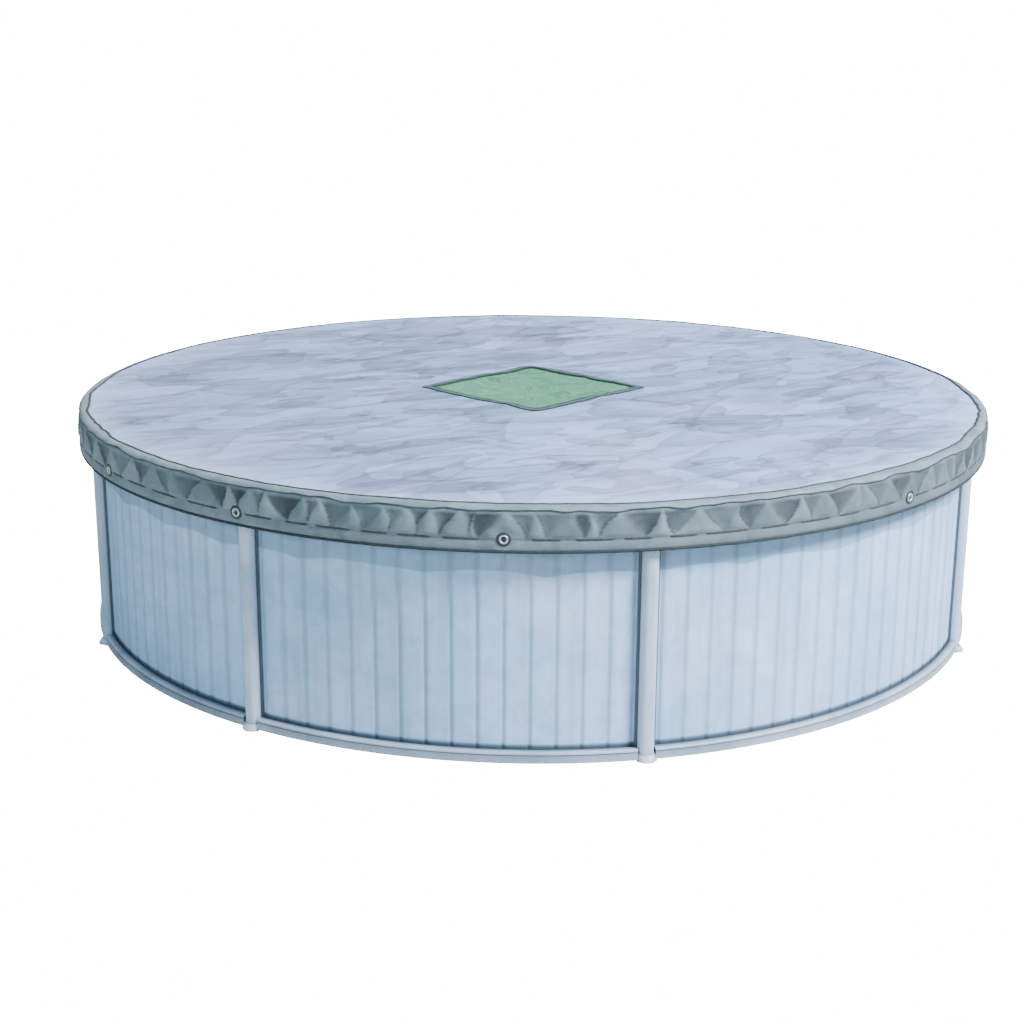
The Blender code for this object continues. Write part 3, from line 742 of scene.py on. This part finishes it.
def cover_skirt(mat):
    """The band below the rim: pleats above the seam, then the smooth hem over the cable."""
    azimuths = skirt_azimuths()
    profile = fold_profile()
    share = np.linspace(0, 1, len(profile))
    depth, dark, crease = pleats(azimuths, share)
    hold = unit(share / 0.22) ** 1.5 * unit((1 - share) / 0.16)
    hold = hold[:, None] * clear_of_eyelets(azimuths, profile[:, 1:], EYELET_ROOM, 0.050)
    billow = 0.0016 * around(azimuths, 3, 0.12) + 0.0008 * around(azimuths, 9, 0.05)
    folds = polar(profile[:, :1] + 0.0016 + hold * (depth + billow), azimuths, profile[:, 1:])
    # height from the seam, and how far the cloth stands out there
    shapes = [(-0.002, -0.0006), (-0.008, 0.0014), (-0.016, 0.0032),
              (-0.024, 0.0042), (-0.031, 0.0040), (-0.036, 0.0024)]
    hem = []
    for drop, bulge in shapes:
        flat = clear_of_eyelets(azimuths, SEAM_Z + drop, EYELET_ROOM, 0.045)
        swell = bulge + 0.0007 * around(azimuths, 27, 0.09, drop)
        hem.append(polar(COVER_R + 0.0006 + flat * swell, azimuths, SEAM_Z + drop))
    hem.append(polar(COVER_R + 0.0008, azimuths, HEM_LOW))
    points = np.concatenate([folds, np.array(hem)])
    faces = cut_faces(points, NOTCH_HALF, SKIRT_HOLE)[:, ::-1]
    obj = piece("cover_skirt_sheet", points, faces, mat, *ON_SKIRT)
    # painted shade in the folds, weaker near the rim and the seam, with a band just above the seam and a
    # little over the hem
    spread = 0.25 + 0.75 * unit((share - 0.10) / 0.08)[:, None] * unit((1 - share) / 0.12)[:, None]
    hollow = np.maximum(dark * spread, 0.32 * (share[:, None] > 0.93))
    plain = np.ones((len(hem), FOLD_STEPS))
    shade(obj, "hollow", np.concatenate([hollow, 0.22 * plain]))
    shade(obj, "crease", np.concatenate([crease * spread, 0 * plain]))
    # painted shade, darkest towards +X to even out the key light from that side
    painted_side_shade = 0.22 + 0.30 * np.sin(azimuths) + 0.05 * around(azimuths, 44, 0.5)
    shade(obj, "painted_side_shade", np.broadcast_to(unit(painted_side_shade), points.shape[:2]))
    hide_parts("cover_skirt")
    return thickened(mended(obj, closed=False), CLOTH)


def rim_point(azimuths, angle, proud):
    """A point on the rolled rim: degrees over the roll, or metres in on the flat if negative."""
    angle = np.broadcast_to(np.asarray(angle, float), np.shape(azimuths))
    a = np.radians(np.clip(angle, 0, None))
    inwards = np.clip(-angle, 0, None)
    roll = RIM + proud
    return polar(TOP_EDGE - inwards + roll * np.sin(a), azimuths, COVER_TOP - RIM + roll * np.cos(a))


def rim_edges(azimuths):
    """The wandering inner and outer edges of the rim band."""
    inner = -0.013 + 0.012 * around(azimuths, 11, 0.22) + 0.005 * around(azimuths, 12, 0.06)
    outer = 58 + 22 * around(azimuths, 17, 0.17) + 9 * around(azimuths, 18, 0.06)
    return inner, outer


def rim_band(mat):
    """The pale rolled strip between the top sheet and the pleats, a little puckered."""
    azimuths = even_steps(RIM_STEPS)
    inner, outer = rim_edges(azimuths)
    rows = [rim_point(azimuths, inner * (1 - share), 0.0022) for share in np.linspace(0, 1, 4)[:-1]]
    for share in np.linspace(0, 1, 10):
        pucker = 0.0008 * around(azimuths, 14, 0.035, 0.04 * share) + 0.0006 * around(azimuths, 5, 0.11)
        rows.append(rim_point(azimuths, outer * share, 0.0024 + pucker))
    obj = ring_sheet("rim_band_strip", rows, mat, *ON_SKIRT)
    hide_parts("rim_band")
    return obj


def rim_seams(mat):
    """The corded seams along both sides of the rim band, the upper one flatter."""
    azimuths = even_steps(RIM_STEPS)
    inner, outer = rim_edges(azimuths)

    def seam(name, edge, proud, across, along):
        path = rim_point(azimuths, edge, proud)
        return cords(name, [path], across, along, mat, *ON_SKIRT, sides=6, closed=True)

    return [seam("rim_seam_upper", inner, 0.0030, 0.0048, 0.0026),
            seam("rim_seam_lower", outer, 0.0034, 0.0024, 0.0024)]


def seam_stitches(mat):
    """Long dark stitches on the hem's seam, broken at the eyelets and the notch."""
    pick = np.random.default_rng(11)
    at, paths = 0.0, []
    stops = [(a, 0.034 / COVER_R) for a in GROMMET_AZIMUTHS] + [(NOTCH_AZIMUTH, NOTCH_HALF + 0.012)]
    while at < TURN - 0.03:
        length = pick.uniform(0.09, 0.16) / COVER_R
        gap = pick.uniform(0.028, 0.060) / COVER_R
        azimuths = np.linspace(at, at + length, 12)
        clear = all(np.abs(turn_from(stop, azimuths)).min() > room for stop, room in stops)
        if clear and azimuths[-1] < TURN - 0.01:
            height = SEAM_Z + 0.0015 * around(azimuths, 21, 0.2)
            paths.append(polar(COVER_R + 0.0016, azimuths, height))
            at += length + gap
        else:
            at += 0.004
    return cords("seam_stitches", paths, 0.0020, 0.0044, mat, *ON_SKIRT)


def hem_piping(mat):
    """The dark cord bound into the hem's lower edge, up and over the winch's notch."""
    low = HEM_LOW - 0.0030
    right, left = NOTCH_AZIMUTH - NOTCH_HALF, NOTCH_AZIMUTH + NOTCH_HALF
    lift = np.linspace(low, NOTCH_TOP, 14)[1:]
    lines = [
        (np.linspace(left + 0.004, right - 0.004 + TURN, 1000), low), (right, lift),
        (np.linspace(right, left, 30)[1:-1], NOTCH_TOP), (left, lift[::-1]),
    ]
    path = np.concatenate([polar(COVER_R + 0.0012, azimuths, heights) for azimuths, heights in lines])
    return cords("hem_piping", [path], 0.0036, 0.0056, mat, *ON_SKIRT, closed=True)


def hem_facing(mat):
    """The strip inside the hem that makes the cable's channel, with a hole behind each eyelet."""
    azimuths = skirt_azimuths()
    channel = [(1.8951, 0.7785), (1.8915, 0.7795), (1.8893, 0.7830), (1.8893, 0.7905), (1.8915, 0.7945)]
    straight = [(1.8951, z) for z in np.linspace(0.803, 0.8335, 9)]
    profile = np.array(channel + [(1.8948, 0.7980)] + straight)
    points = polar(profile[:, :1], azimuths, profile[:, 1:])
    faces = cut_faces(points, NOTCH_HALF + 0.003, FACING_HOLE)
    obj = piece("hem_facing_strip", points, faces, mat, *ON_SKIRT)
    # painted shade inside the hem
    shade(obj, "hollow", np.full(points.shape[:2], 0.4))
    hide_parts("hem_facing")
    return thickened(mended(obj, closed=False), 0.0007, 1.0)


# ---- eyelets, cable and winch
def turned_ring(name, profile, azimuth, mat, slot, steps=48):
    """A ring turned from a (radius, height) outline, set square on the skirt at an azimuth."""
    radii, out = np.array(profile).T
    angles = even_steps(steps)[:, None]
    x, z = radii * np.cos(angles), radii * np.sin(angles) + SEAM_Z
    points = np.stack(np.broadcast_arrays(x, -COVER_R - out, z), axis=-1)
    faces = tube_faces(steps, len(profile), closed=True)
    return solid(name, turned(points, azimuth), faces, mat, "cover", slot, sharp=50)


def eyelets(metal, rubber):
    """Each eyelet: a dark washer on the cloth, a rolled metal ring through it, a back washer."""
    rolled = [(EYE_R, -0.0060), (EYE_R, 0.0030)] + arc(0.0128, 0.0024, 0.0034, 150, 20, 7)
    rolled += [(0.0182, 0.0032), (0.0182, 0.0026), (0.0112, 0.0012), (0.0112, -0.0060)]
    wide = FLANGE_R + 0.0022
    washer = [(0.0150, 0.0004), (wide, 0.0004), (wide, 0.0024), (wide - 0.0012, 0.0034), (0.0150, 0.0036)]
    back = [(EYE_R, -0.0073), (0.0165, -0.0073), (0.0165, -0.0062), (EYE_R, -0.0062)]
    for node, azimuth in zip(GROMMETS, GROMMET_AZIMUTHS):
        ring = turned_ring(f"{node}_ring", rolled, azimuth, metal, "eyelet_metal")
        turned_ring(f"{node}_washer", washer, azimuth, rubber, "eyelet_metal")
        turned_ring(f"{node}_back", back, azimuth, metal, "eyelet_metal", steps=32)
        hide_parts(node)


def cinch_cable(mat):
    """The coated cable in the hem, from the drum round to the winch frame's end."""
    radii, azimuths, _ = cad_points("cinch_cable")
    far = np.abs(turn_from(NOTCH_AZIMUTH, azimuths)) > 0.2
    ring_r = (radii[far].min() + radii[far].max()) / 2
    spool = middle("winch_spool")
    drum_y = spool.y - DRUM_R - CABLE_R - 0.0004
    exit_angle = 0.070 / ring_r
    sweep = np.linspace(NOTCH_AZIMUTH + exit_angle, NOTCH_AZIMUTH - exit_angle + TURN, 720)
    ring = polar(ring_r, sweep, CABLE_Z)
    start = [(-0.0355, 1.9000), (-0.046, 1.8998), (-0.056, 1.8970)]
    end = [(0.056, 1.8960), (0.034, drum_y - 0.003), (spool.x + 0.010, drum_y - 0.0003), (spool.x, drum_y)]
    start, end = (np.array([(x, y, CABLE_Z) for x, y in line]) for line in (start, end))
    path = np.concatenate([start, ring, end])
    obj = cords("cinch_cable_laid", [path], CABLE_R, CABLE_R, mat, "cover", "cable_jacket", sides=10)
    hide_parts("cinch_cable")


def cable_turns(mat):
    """The last turns of cable, wound on the drum."""
    spool = middle("winch_spool")
    turns, per_turn, sides = 1.25, 28, 10
    angles = np.arange(int(turns * per_turn)) / per_turn * TURN
    out = np.stack([np.cos(angles), np.sin(angles), 0 * angles], axis=-1)
    path = (DRUM_R + CABLE_R) * out + (spool.x, spool.y, CABLE_Z + 0.0053)
    path[:, 2] += 0.0050 * angles / TURN
    turn = even_steps(sides)[None, :, None]
    ring = 0.96 * CABLE_R * (np.cos(turn) * out[:, None] + np.sin(turn) * (0, 0, 1))
    faces = tube_faces(len(path), sides)
    solid("cable_turns", path[:, None] + ring, faces, mat, "spool", "cable_jacket")


# ---- the pool
def steel_wall(mat):
    """The ribbed sheet, with rounded grooves."""
    per_rib = 14
    beside_posts = [(a + side * reach / WALL_R - RIB_START) % TURN for a in UPRIGHTS
                    for side in (-1, 1) for reach in POST_SHADE_LINE]
    azimuths = RIB_START + np.sort(np.concatenate([even_steps(RIBS * per_rib), beside_posts]))
    pitch = TURN / RIBS
    away = np.abs((azimuths - RIB_START) / pitch % 1 - 0.5) * pitch * WALL_R
    groove = 0.5 + 0.5 * np.cos(unit(away / (RIB_WIDTH / 2)) * math.pi)
    # painted shade: darker across each groove, a little uneven round the pool
    tint = unit((0.0145 - away) / 0.004)
    tint *= 0.75 + 0.25 * around(azimuths, 71, 0.3)
    # rows stand closer together where the painted shade at the wall's foot and the painted hem shadow begin
    heights = np.concatenate([
        [WALL_LOW, 0.040, 0.048, 0.052, 0.058, 0.066, 0.09], np.linspace(0.12, 0.58, 9),
        np.linspace(0.60, 0.79, 48), [0.80, 0.84, WALL_HIGH],
    ])
    points = polar(WALL_R - RIB_DEPTH * groove, azimuths, heights[:, None])
    obj = ring_sheet("wall_sheet", points, mat, "pool", "painted_wall_steel", thick=0.001)
    # painted shade: a crisp dark line and a soft shadow next to each post, a dark line at the wall's foot,
    # and darkening high up under the hem
    away = WALL_R * np.min([np.abs(turn_from(a, azimuths)) for a in UPRIGHTS], axis=0)
    full, end = POST_SHADE_LINE
    post_shade = 0.70 * unit((end - away) / (end - full)) + 0.14 * np.exp(-np.clip(away - end, 0, None) / 0.02)
    low = unit((0.064 - heights) / 0.008)
    under_hem_shade = unit((heights - 0.785) / 0.012)
    # painted shadow of the hem's overhang: a wavy band, crisp along its lower edge and deeper close under the
    # hem
    scallop = 0.018 * np.abs(np.sin(azimuths * 15 + 1.5 * around(azimuths, 35, 0.6)))
    line = HEM_SHADOW_LOW + scallop + 0.010 * around(azimuths, 31, 0.5) + 0.004 * around(azimuths, 33, 0.10)
    above = heights[:, None] - line
    painted_hem_shadow, deeper_hem_shadow = unit(above / 0.005), unit((above - 0.055) / 0.03)
    shade(obj, "painted_shade", np.clip(post_shade + 0.9 * low[:, None] + 0.9 * under_hem_shade[:, None], 0, 0.92))
    shade(obj, "painted_hem_shadow", 0.48 * painted_hem_shadow + 0.3 * deeper_hem_shadow)
    shade(obj, "groove", np.broadcast_to(0.42 * tint, points.shape[:2]))
    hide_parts("wall")


def base_tracks(mat):
    """The bottom channels: a rounded shoulder, a rolled line in the face and a flat foot."""
    out_r, in_r, lip_r, low, top, thick = 1.8655, 1.8200, 1.8352, 0.0044, 0.0455, 0.0015
    profile = [(in_r, 0.016), (in_r, low), (out_r - thick, low)]
    profile += arc(out_r - thick, low + thick, thick, -90, 0, 3)
    profile += [(out_r, 0.0310), (out_r - 0.0030, 0.0322), (out_r - 0.0030, 0.0356), (out_r - 0.0006, 0.0368)]
    profile += arc(out_r - 0.0090, top - 0.0080, 0.0080, 0, 90, 6)
    profile += [(lip_r + 0.001, top - 0.0002), (lip_r, top - 0.0012), (lip_r + 0.001, top - 0.0020)]
    profile += [(out_r - 0.0090, top - 0.0018), (out_r - 0.0040, top - 0.0070), (out_r - 0.0046, 0.0340)]
    profile += [(out_r - 0.0030, 0.0290), (out_r - 0.0016, low + thick)]
    profile += [(in_r + thick, low + thick), (in_r + thick, 0.016)]
    radii, heights = np.array(profile).T
    # painted shade: the inner shoulder against the wall and the rolled line in the face darkened
    inner = unit((lip_r + 0.004 - radii) / 0.003) * (heights > 0.03)
    crease = np.exp(-((heights - 0.0339) / 0.0028) ** 2)
    for number, azimuths in bays(0.98, 72):
        obj = swept(f"track_{number}", profile, azimuths, mat, "trim_steel", sharp=40)
        shade(obj, "painted_shade", np.tile(np.clip(0.85 * inner + 0.95 * crease, 0, 0.9), (len(azimuths), 1)))
        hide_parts(f"base_track_{number}")


def upright_outline():
    """Half width and radius round the post: a crowned front, a thin bead against the wall and lips behind."""
    front, back, half, wall = 1.8715, 1.8312, 0.029, 0.0015
    start, power = back + 0.007, 2 / 2.7
    angles = np.linspace(math.pi / 2, 0, 23)
    crown = [(half * math.cos(a) ** power, start + (front - start) * math.sin(a) ** power) for a in angles]
    crown[0] = (0.0, front)
    lip = [(half, back + 0.0034), (half + 0.0050, back + 0.0032), (half + 0.0055, back)]
    lip += [(half - 0.009, back), (half - 0.009, back + wall), (half - wall, back + wall)]
    inside = [(x * 0.95, start + (r - start) * 0.955) for x, r in reversed(crown)]
    right = crown + lip + inside
    right[-1] = (0.0, right[-1][1])
    return right + [(-x, r) for x, r in reversed(right[1:-1])]


def uprights(mat):
    """Each post, with painted shade on its edges where it meets the wall, at its foot and under the hem."""
    half, radii = np.array(upright_outline()).T
    heights = np.array([0.0050, 0.012, 0.026, 0.0275, 0.05, 0.2, 0.5, 0.72, 0.75, 0.77, 0.80, 0.896])[:, None]
    points = np.stack(np.broadcast_arrays(half, -radii, heights), axis=-1)
    faces = tube_faces(len(heights), len(radii))
    # painted shade: the flanks and bead against the wall, the foot, and the top under the hem
    edge = unit((1.8435 - radii) / 0.003)
    foot = unit((0.03 - heights) / 0.01)
    top = np.clip((heights - 0.745) / 0.04, 0, 0.5)
    for number, azimuth in enumerate(UPRIGHTS, 1):
        obj = solid(f"post_{number}", turned(points, azimuth), faces, mat, "pool", "trim_steel", sharp=40)
        shade(obj, "painted_shade", np.clip(0.95 * edge + 0.35 * foot + top, 0, 0.88))
        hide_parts(f"upright_{number}")


def feet(mat):
    """Each foot: a rounded toe that the post stands in, and a plate that runs back under the track."""
    # height, half width and front of the toe
    levels = [
        (0.0006, 0.0318, 1.8900), (0.0030, 0.0326, 1.8915), (0.0090, 0.0324, 1.8890),
        (0.0170, 0.0318, 1.8825), (0.0240, 0.0312, 1.8765), (0.0258, 0.0304, 1.8740),
    ]
    angles = np.linspace(0, math.pi, 25)
    cos, sin = np.cos(angles), np.sin(angles)
    back, power = 1.8500, 2 / 2.5
    toe = []
    for height, half, front in levels:
        x = half * np.sign(cos) * np.abs(cos) ** power
        y = back + (front - back) * np.abs(sin) ** power
        toe.append(np.stack([x, -y, np.full_like(x, height)], axis=-1))
    count, n = len(angles), len(angles) * len(levels)
    plate = [(-0.036, 1.806), (0.036, 1.806), (0.036, 1.872), (-0.036, 1.872)]
    under = [(x, -r, z) for z in (0.0006, 0.0038) for x, r in plate]
    sides = ([3, 2, 1, 0], [4, 5, 6, 7], [0, 1, 5, 4], [1, 2, 6, 5], [2, 3, 7, 6], [3, 0, 4, 7])
    faces = tube_faces(len(levels), count) + [[n + v for v in f] for f in sides]
    points = np.concatenate(toe + [under])
    # painted shade: darkest where the post enters the toe, less at the bottom and under the track
    painted_shade = np.concatenate([np.repeat([0.35, 0.1, 0.0, 0.0, 0.1, 0.6], count), np.full(len(under), 0.4)])
    for number, azimuth in enumerate(UPRIGHTS, 1):
        obj = solid(f"toe_{number}", turned(points, azimuth), faces, mat, "pool", "trim_steel", sharp=40)
        shade(obj, "painted_shade", painted_shade)
        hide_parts(f"foot_{number}")


def ledges(mat):
    """The top rails under the cover, round-shouldered and hollow below."""
    out_r, in_r, top, thick = 1.883, 1.772, 0.920, 0.0016
    outer = [(out_r, top - 0.030)] + arc(out_r - 0.016, top - 0.016, 0.016, 0, 90, 8)
    outer += arc(in_r + 0.008, top - 0.008, 0.008, 90, 180, 5) + [(in_r, top - 0.022)]
    inner = [(in_r + thick, top - 0.022)] + arc(in_r + 0.008, top - 0.008, 0.008 - thick, 180, 90, 5)
    inner += arc(out_r - 0.016, top - 0.016, 0.016 - thick, 90, 0, 8) + [(out_r - thick, top - 0.030)]
    for number, azimuths in bays(0.15, 60):
        obj = swept(f"rail_{number}", outer + inner, azimuths, mat, "trim_steel", sharp=50)
        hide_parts(f"ledge_{number}")


def liner(mat):
    """The vinyl bag: the wall strip with its hooked bead, and the floor with a few soft creases."""
    inner = [(1.8150, 0.0045), (1.8155, 0.014), (1.8175, 0.024), (1.8225, 0.036), (1.8225, 0.906)]
    bead = [(1.8350, 0.906), (1.8350, 0.8975), (1.8340, 0.8975), (1.8340, 0.905)]
    outer = [(1.8235, 0.905), (1.8235, 0.0358), (1.8185, 0.0238), (1.8165, 0.0140), (1.8160, 0.0045)]
    profile = inner + bead + outer
    wall = swept("liner_wall_vinyl", profile, even_steps(360), mat, "liner_vinyl", closed=True)
    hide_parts("liner_wall")
    points = polar(np.linspace(0.02, 1.8110, 40)[:, None], even_steps(240), 0.0057)
    crease = np.vectorize(lambda a, b: max(1 - abs(ripple(a, b, 41, 0.5)) * 5, 0) ** 2)
    points[..., 2] += 0.0018 * crease(points[..., 0], points[..., 1])
    floor = ring_sheet("liner_floor_vinyl", points, mat, "pool", "liner_vinyl", (0, 0, 0.0057), 0.0010)
    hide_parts("liner_floor")


def cap_screws(mat):
    """Two round-headed screws in each ledge cap, sunk to their heads."""
    flat = 0.45
    dome = np.array([(0.0016, 0.0017), (0.0030, 0.0012), (0.0038, 0.0), (0.0038, -0.001)]) * (1, flat)
    steps = 20
    ring = polar(dome[:, 0], even_steps(steps)[:, None], dome[:, 1]).reshape(-1, 3)
    screw = np.concatenate([ring, [(0, 0, 0.0018 * flat), (0, 0, -0.001 * flat)]])
    quads = grid_faces(steps, 4, wrap_rows=True).tolist()
    for j in range(steps):
        k = (j + 1) % steps
        quads += [[j * 4, k * 4, steps * 4], [j * 4 + 3, k * 4 + 3, steps * 4 + 1]]
    points, faces = [], []
    for azimuth in UPRIGHTS:
        for radius in (1.800, 1.850):
            faces += [[v + len(points) * len(screw) for v in f] for f in quads]
            points.append(screw + polar(radius, azimuth, 0.9226))
    solid("cap_screws", np.concatenate(points), faces, mat, "pool", "zinc_plate", sharp=40)


# ---- floor, light and camera
def white_to_camera(tree, glow_kind, plain, output, share):
    """The camera sees a share of white glow; all other rays see the plain shader."""
    nodes, links = tree.nodes, tree.links
    glow, blend = nodes.new(glow_kind), nodes.new("ShaderNodeMixShader")
    seen, part = nodes.new("ShaderNodeLightPath"), nodes.new("ShaderNodeMath")
    glow.inputs["Strength"].default_value = 22.0
    part.operation = "MULTIPLY"
    part.inputs[1].default_value = share
    links.new(seen.outputs["Is Camera Ray"], part.inputs[0])
    links.new(part.outputs["Value"], blend.inputs["Fac"])
    links.new(nodes[plain].outputs[0], blend.inputs[1])
    links.new(glow.outputs[0], blend.inputs[2])
    links.new(blend.outputs["Shader"], nodes[output].inputs["Surface"])


def stage():
    """Pale floor and sky, a broad key light from the right, and the camera."""
    bpy.ops.mesh.primitive_plane_add(size=400, location=(0, 0, 0))
    floor = bpy.context.object
    floor.name = "floor"
    white = Paint("floor_white", 1.0)
    white.shader.inputs["Base Color"].default_value = (0.55, 0.55, 0.55, 1)
    white_to_camera(white.tree, "ShaderNodeEmission", "Principled BSDF", "Material Output", 0.97)
    floor.data.materials.append(white.mat)

    world = bpy.data.worlds.new("sky")
    world.use_nodes = True
    plain = world.node_tree.nodes["Background"]
    plain.inputs["Color"].default_value = (0.70, 0.87, 1.0, 1)
    plain.inputs["Strength"].default_value = 0.58
    white_to_camera(world.node_tree, "ShaderNodeBackground", "Background", "World Output", 1.0)
    bpy.context.scene.world = world

    def softbox(name, location, size, power, tint=(1, 1, 1), aim=(0, 0, 0.5)):
        lamp = bpy.data.lights.new(name, "AREA")
        lamp.shape = "DISK"
        lamp.size = size
        lamp.energy = power
        lamp.color = tint
        obj = bpy.data.objects.new(name, lamp)
        obj.location = location
        obj.rotation_euler = (Vector(aim) - Vector(location)).to_track_quat("-Z", "Y").to_euler()
        bpy.context.scene.collection.objects.link(obj)

    softbox("key", (7.6, -5.2, 8.0), 2.6, 3650, (0.92, 0.92, 1.0), aim=(0.4, -0.6, 0.6))
    softbox("front", (-5.5, -8.0, 3.0), 4.0, 200, (0.76, 0.95, 1.0))
    softbox("back", (-4.0, 7.0, 6.0), 6.0, 300)

    camera = bpy.data.cameras.new("camera")
    camera.sensor_width = 36
    camera.lens = 61.64
    camera.shift_x = -0.0197
    obj = bpy.data.objects.new("camera", camera)
    obj.location = (0, -7.40, 2.482)
    pitch = math.radians(90 - 15.93)
    roll = math.radians(0.5)
    obj.rotation_euler = (Matrix.Rotation(pitch, 3, "X") @ Matrix.Rotation(roll, 3, "Z")).to_euler()
    bpy.context.scene.collection.objects.link(obj)
    bpy.context.scene.camera = obj


# ---- everything, in order
stage()
TRIM = trim_enamel("trim_enamel", (156, 180, 200), (190, 208, 228))
# a darker copy of the trim enamel for the track: painted shade against the floor's bounce light
SHADED_TRACK_TRIM = trim_enamel("track_enamel", (146, 166, 184), (174, 192, 212))
ZINC = bright_metal("zinc", (186, 190, 194), (140, 146, 150))
EYELET = bright_metal("eyelet", (226, 230, 230), (186, 192, 194), 0.4)
RUBBER = dark_cord("washer_rubber", (34, 42, 44), 0.6)
THREAD = dark_cord("thread", (44, 56, 58), 0.8)
JACKET = dark_cord("cable_jacket", (34, 38, 38), 0.5)
SKIRT = skirt_cloth()

top_sheet = cover_top(cover_cloth())
panel = drain_panel(drain_weave())
binding = panel_binding(webbing_tape())
panel_thread = binding_stitches(dark_cord("panel_thread", (84, 100, 98), 0.8))
skirt_sheet = cover_skirt(SKIRT)
rim = rim_band(rim_cloth())
seams = rim_seams(THREAD)
stitches = seam_stitches(THREAD)
piping = hem_piping(dark_cord("hem_cord", (30, 40, 42), 0.8))
facing = hem_facing(SKIRT)
eyelets(EYELET, RUBBER)
cinch_cable(JACKET)
cable_turns(JACKET)
steel_wall(wall_enamel())
base_tracks(SHADED_TRACK_TRIM)
uprights(TRIM)
feet(TRIM)
ledges(TRIM)
liner(liner_vinyl())
cap_screws(ZINC)

KEPT = {"trim_steel": (TRIM, 0.0012), "cap_plastic": (cap_resin(), 0.0008), "zinc_plate": (ZINC, 0.0003)}
for row in frame["record"]["subparts"]:
    obj = frame["nodes"][row["node"]]
    if row["material_slot"] in KEPT and not obj.hide_render:
        mat, width = KEPT[row["material_slot"]]
        for material_slot in obj.material_slots:
            material_slot.link = "OBJECT"
            material_slot.material = mat
        bevelled(obj, width)
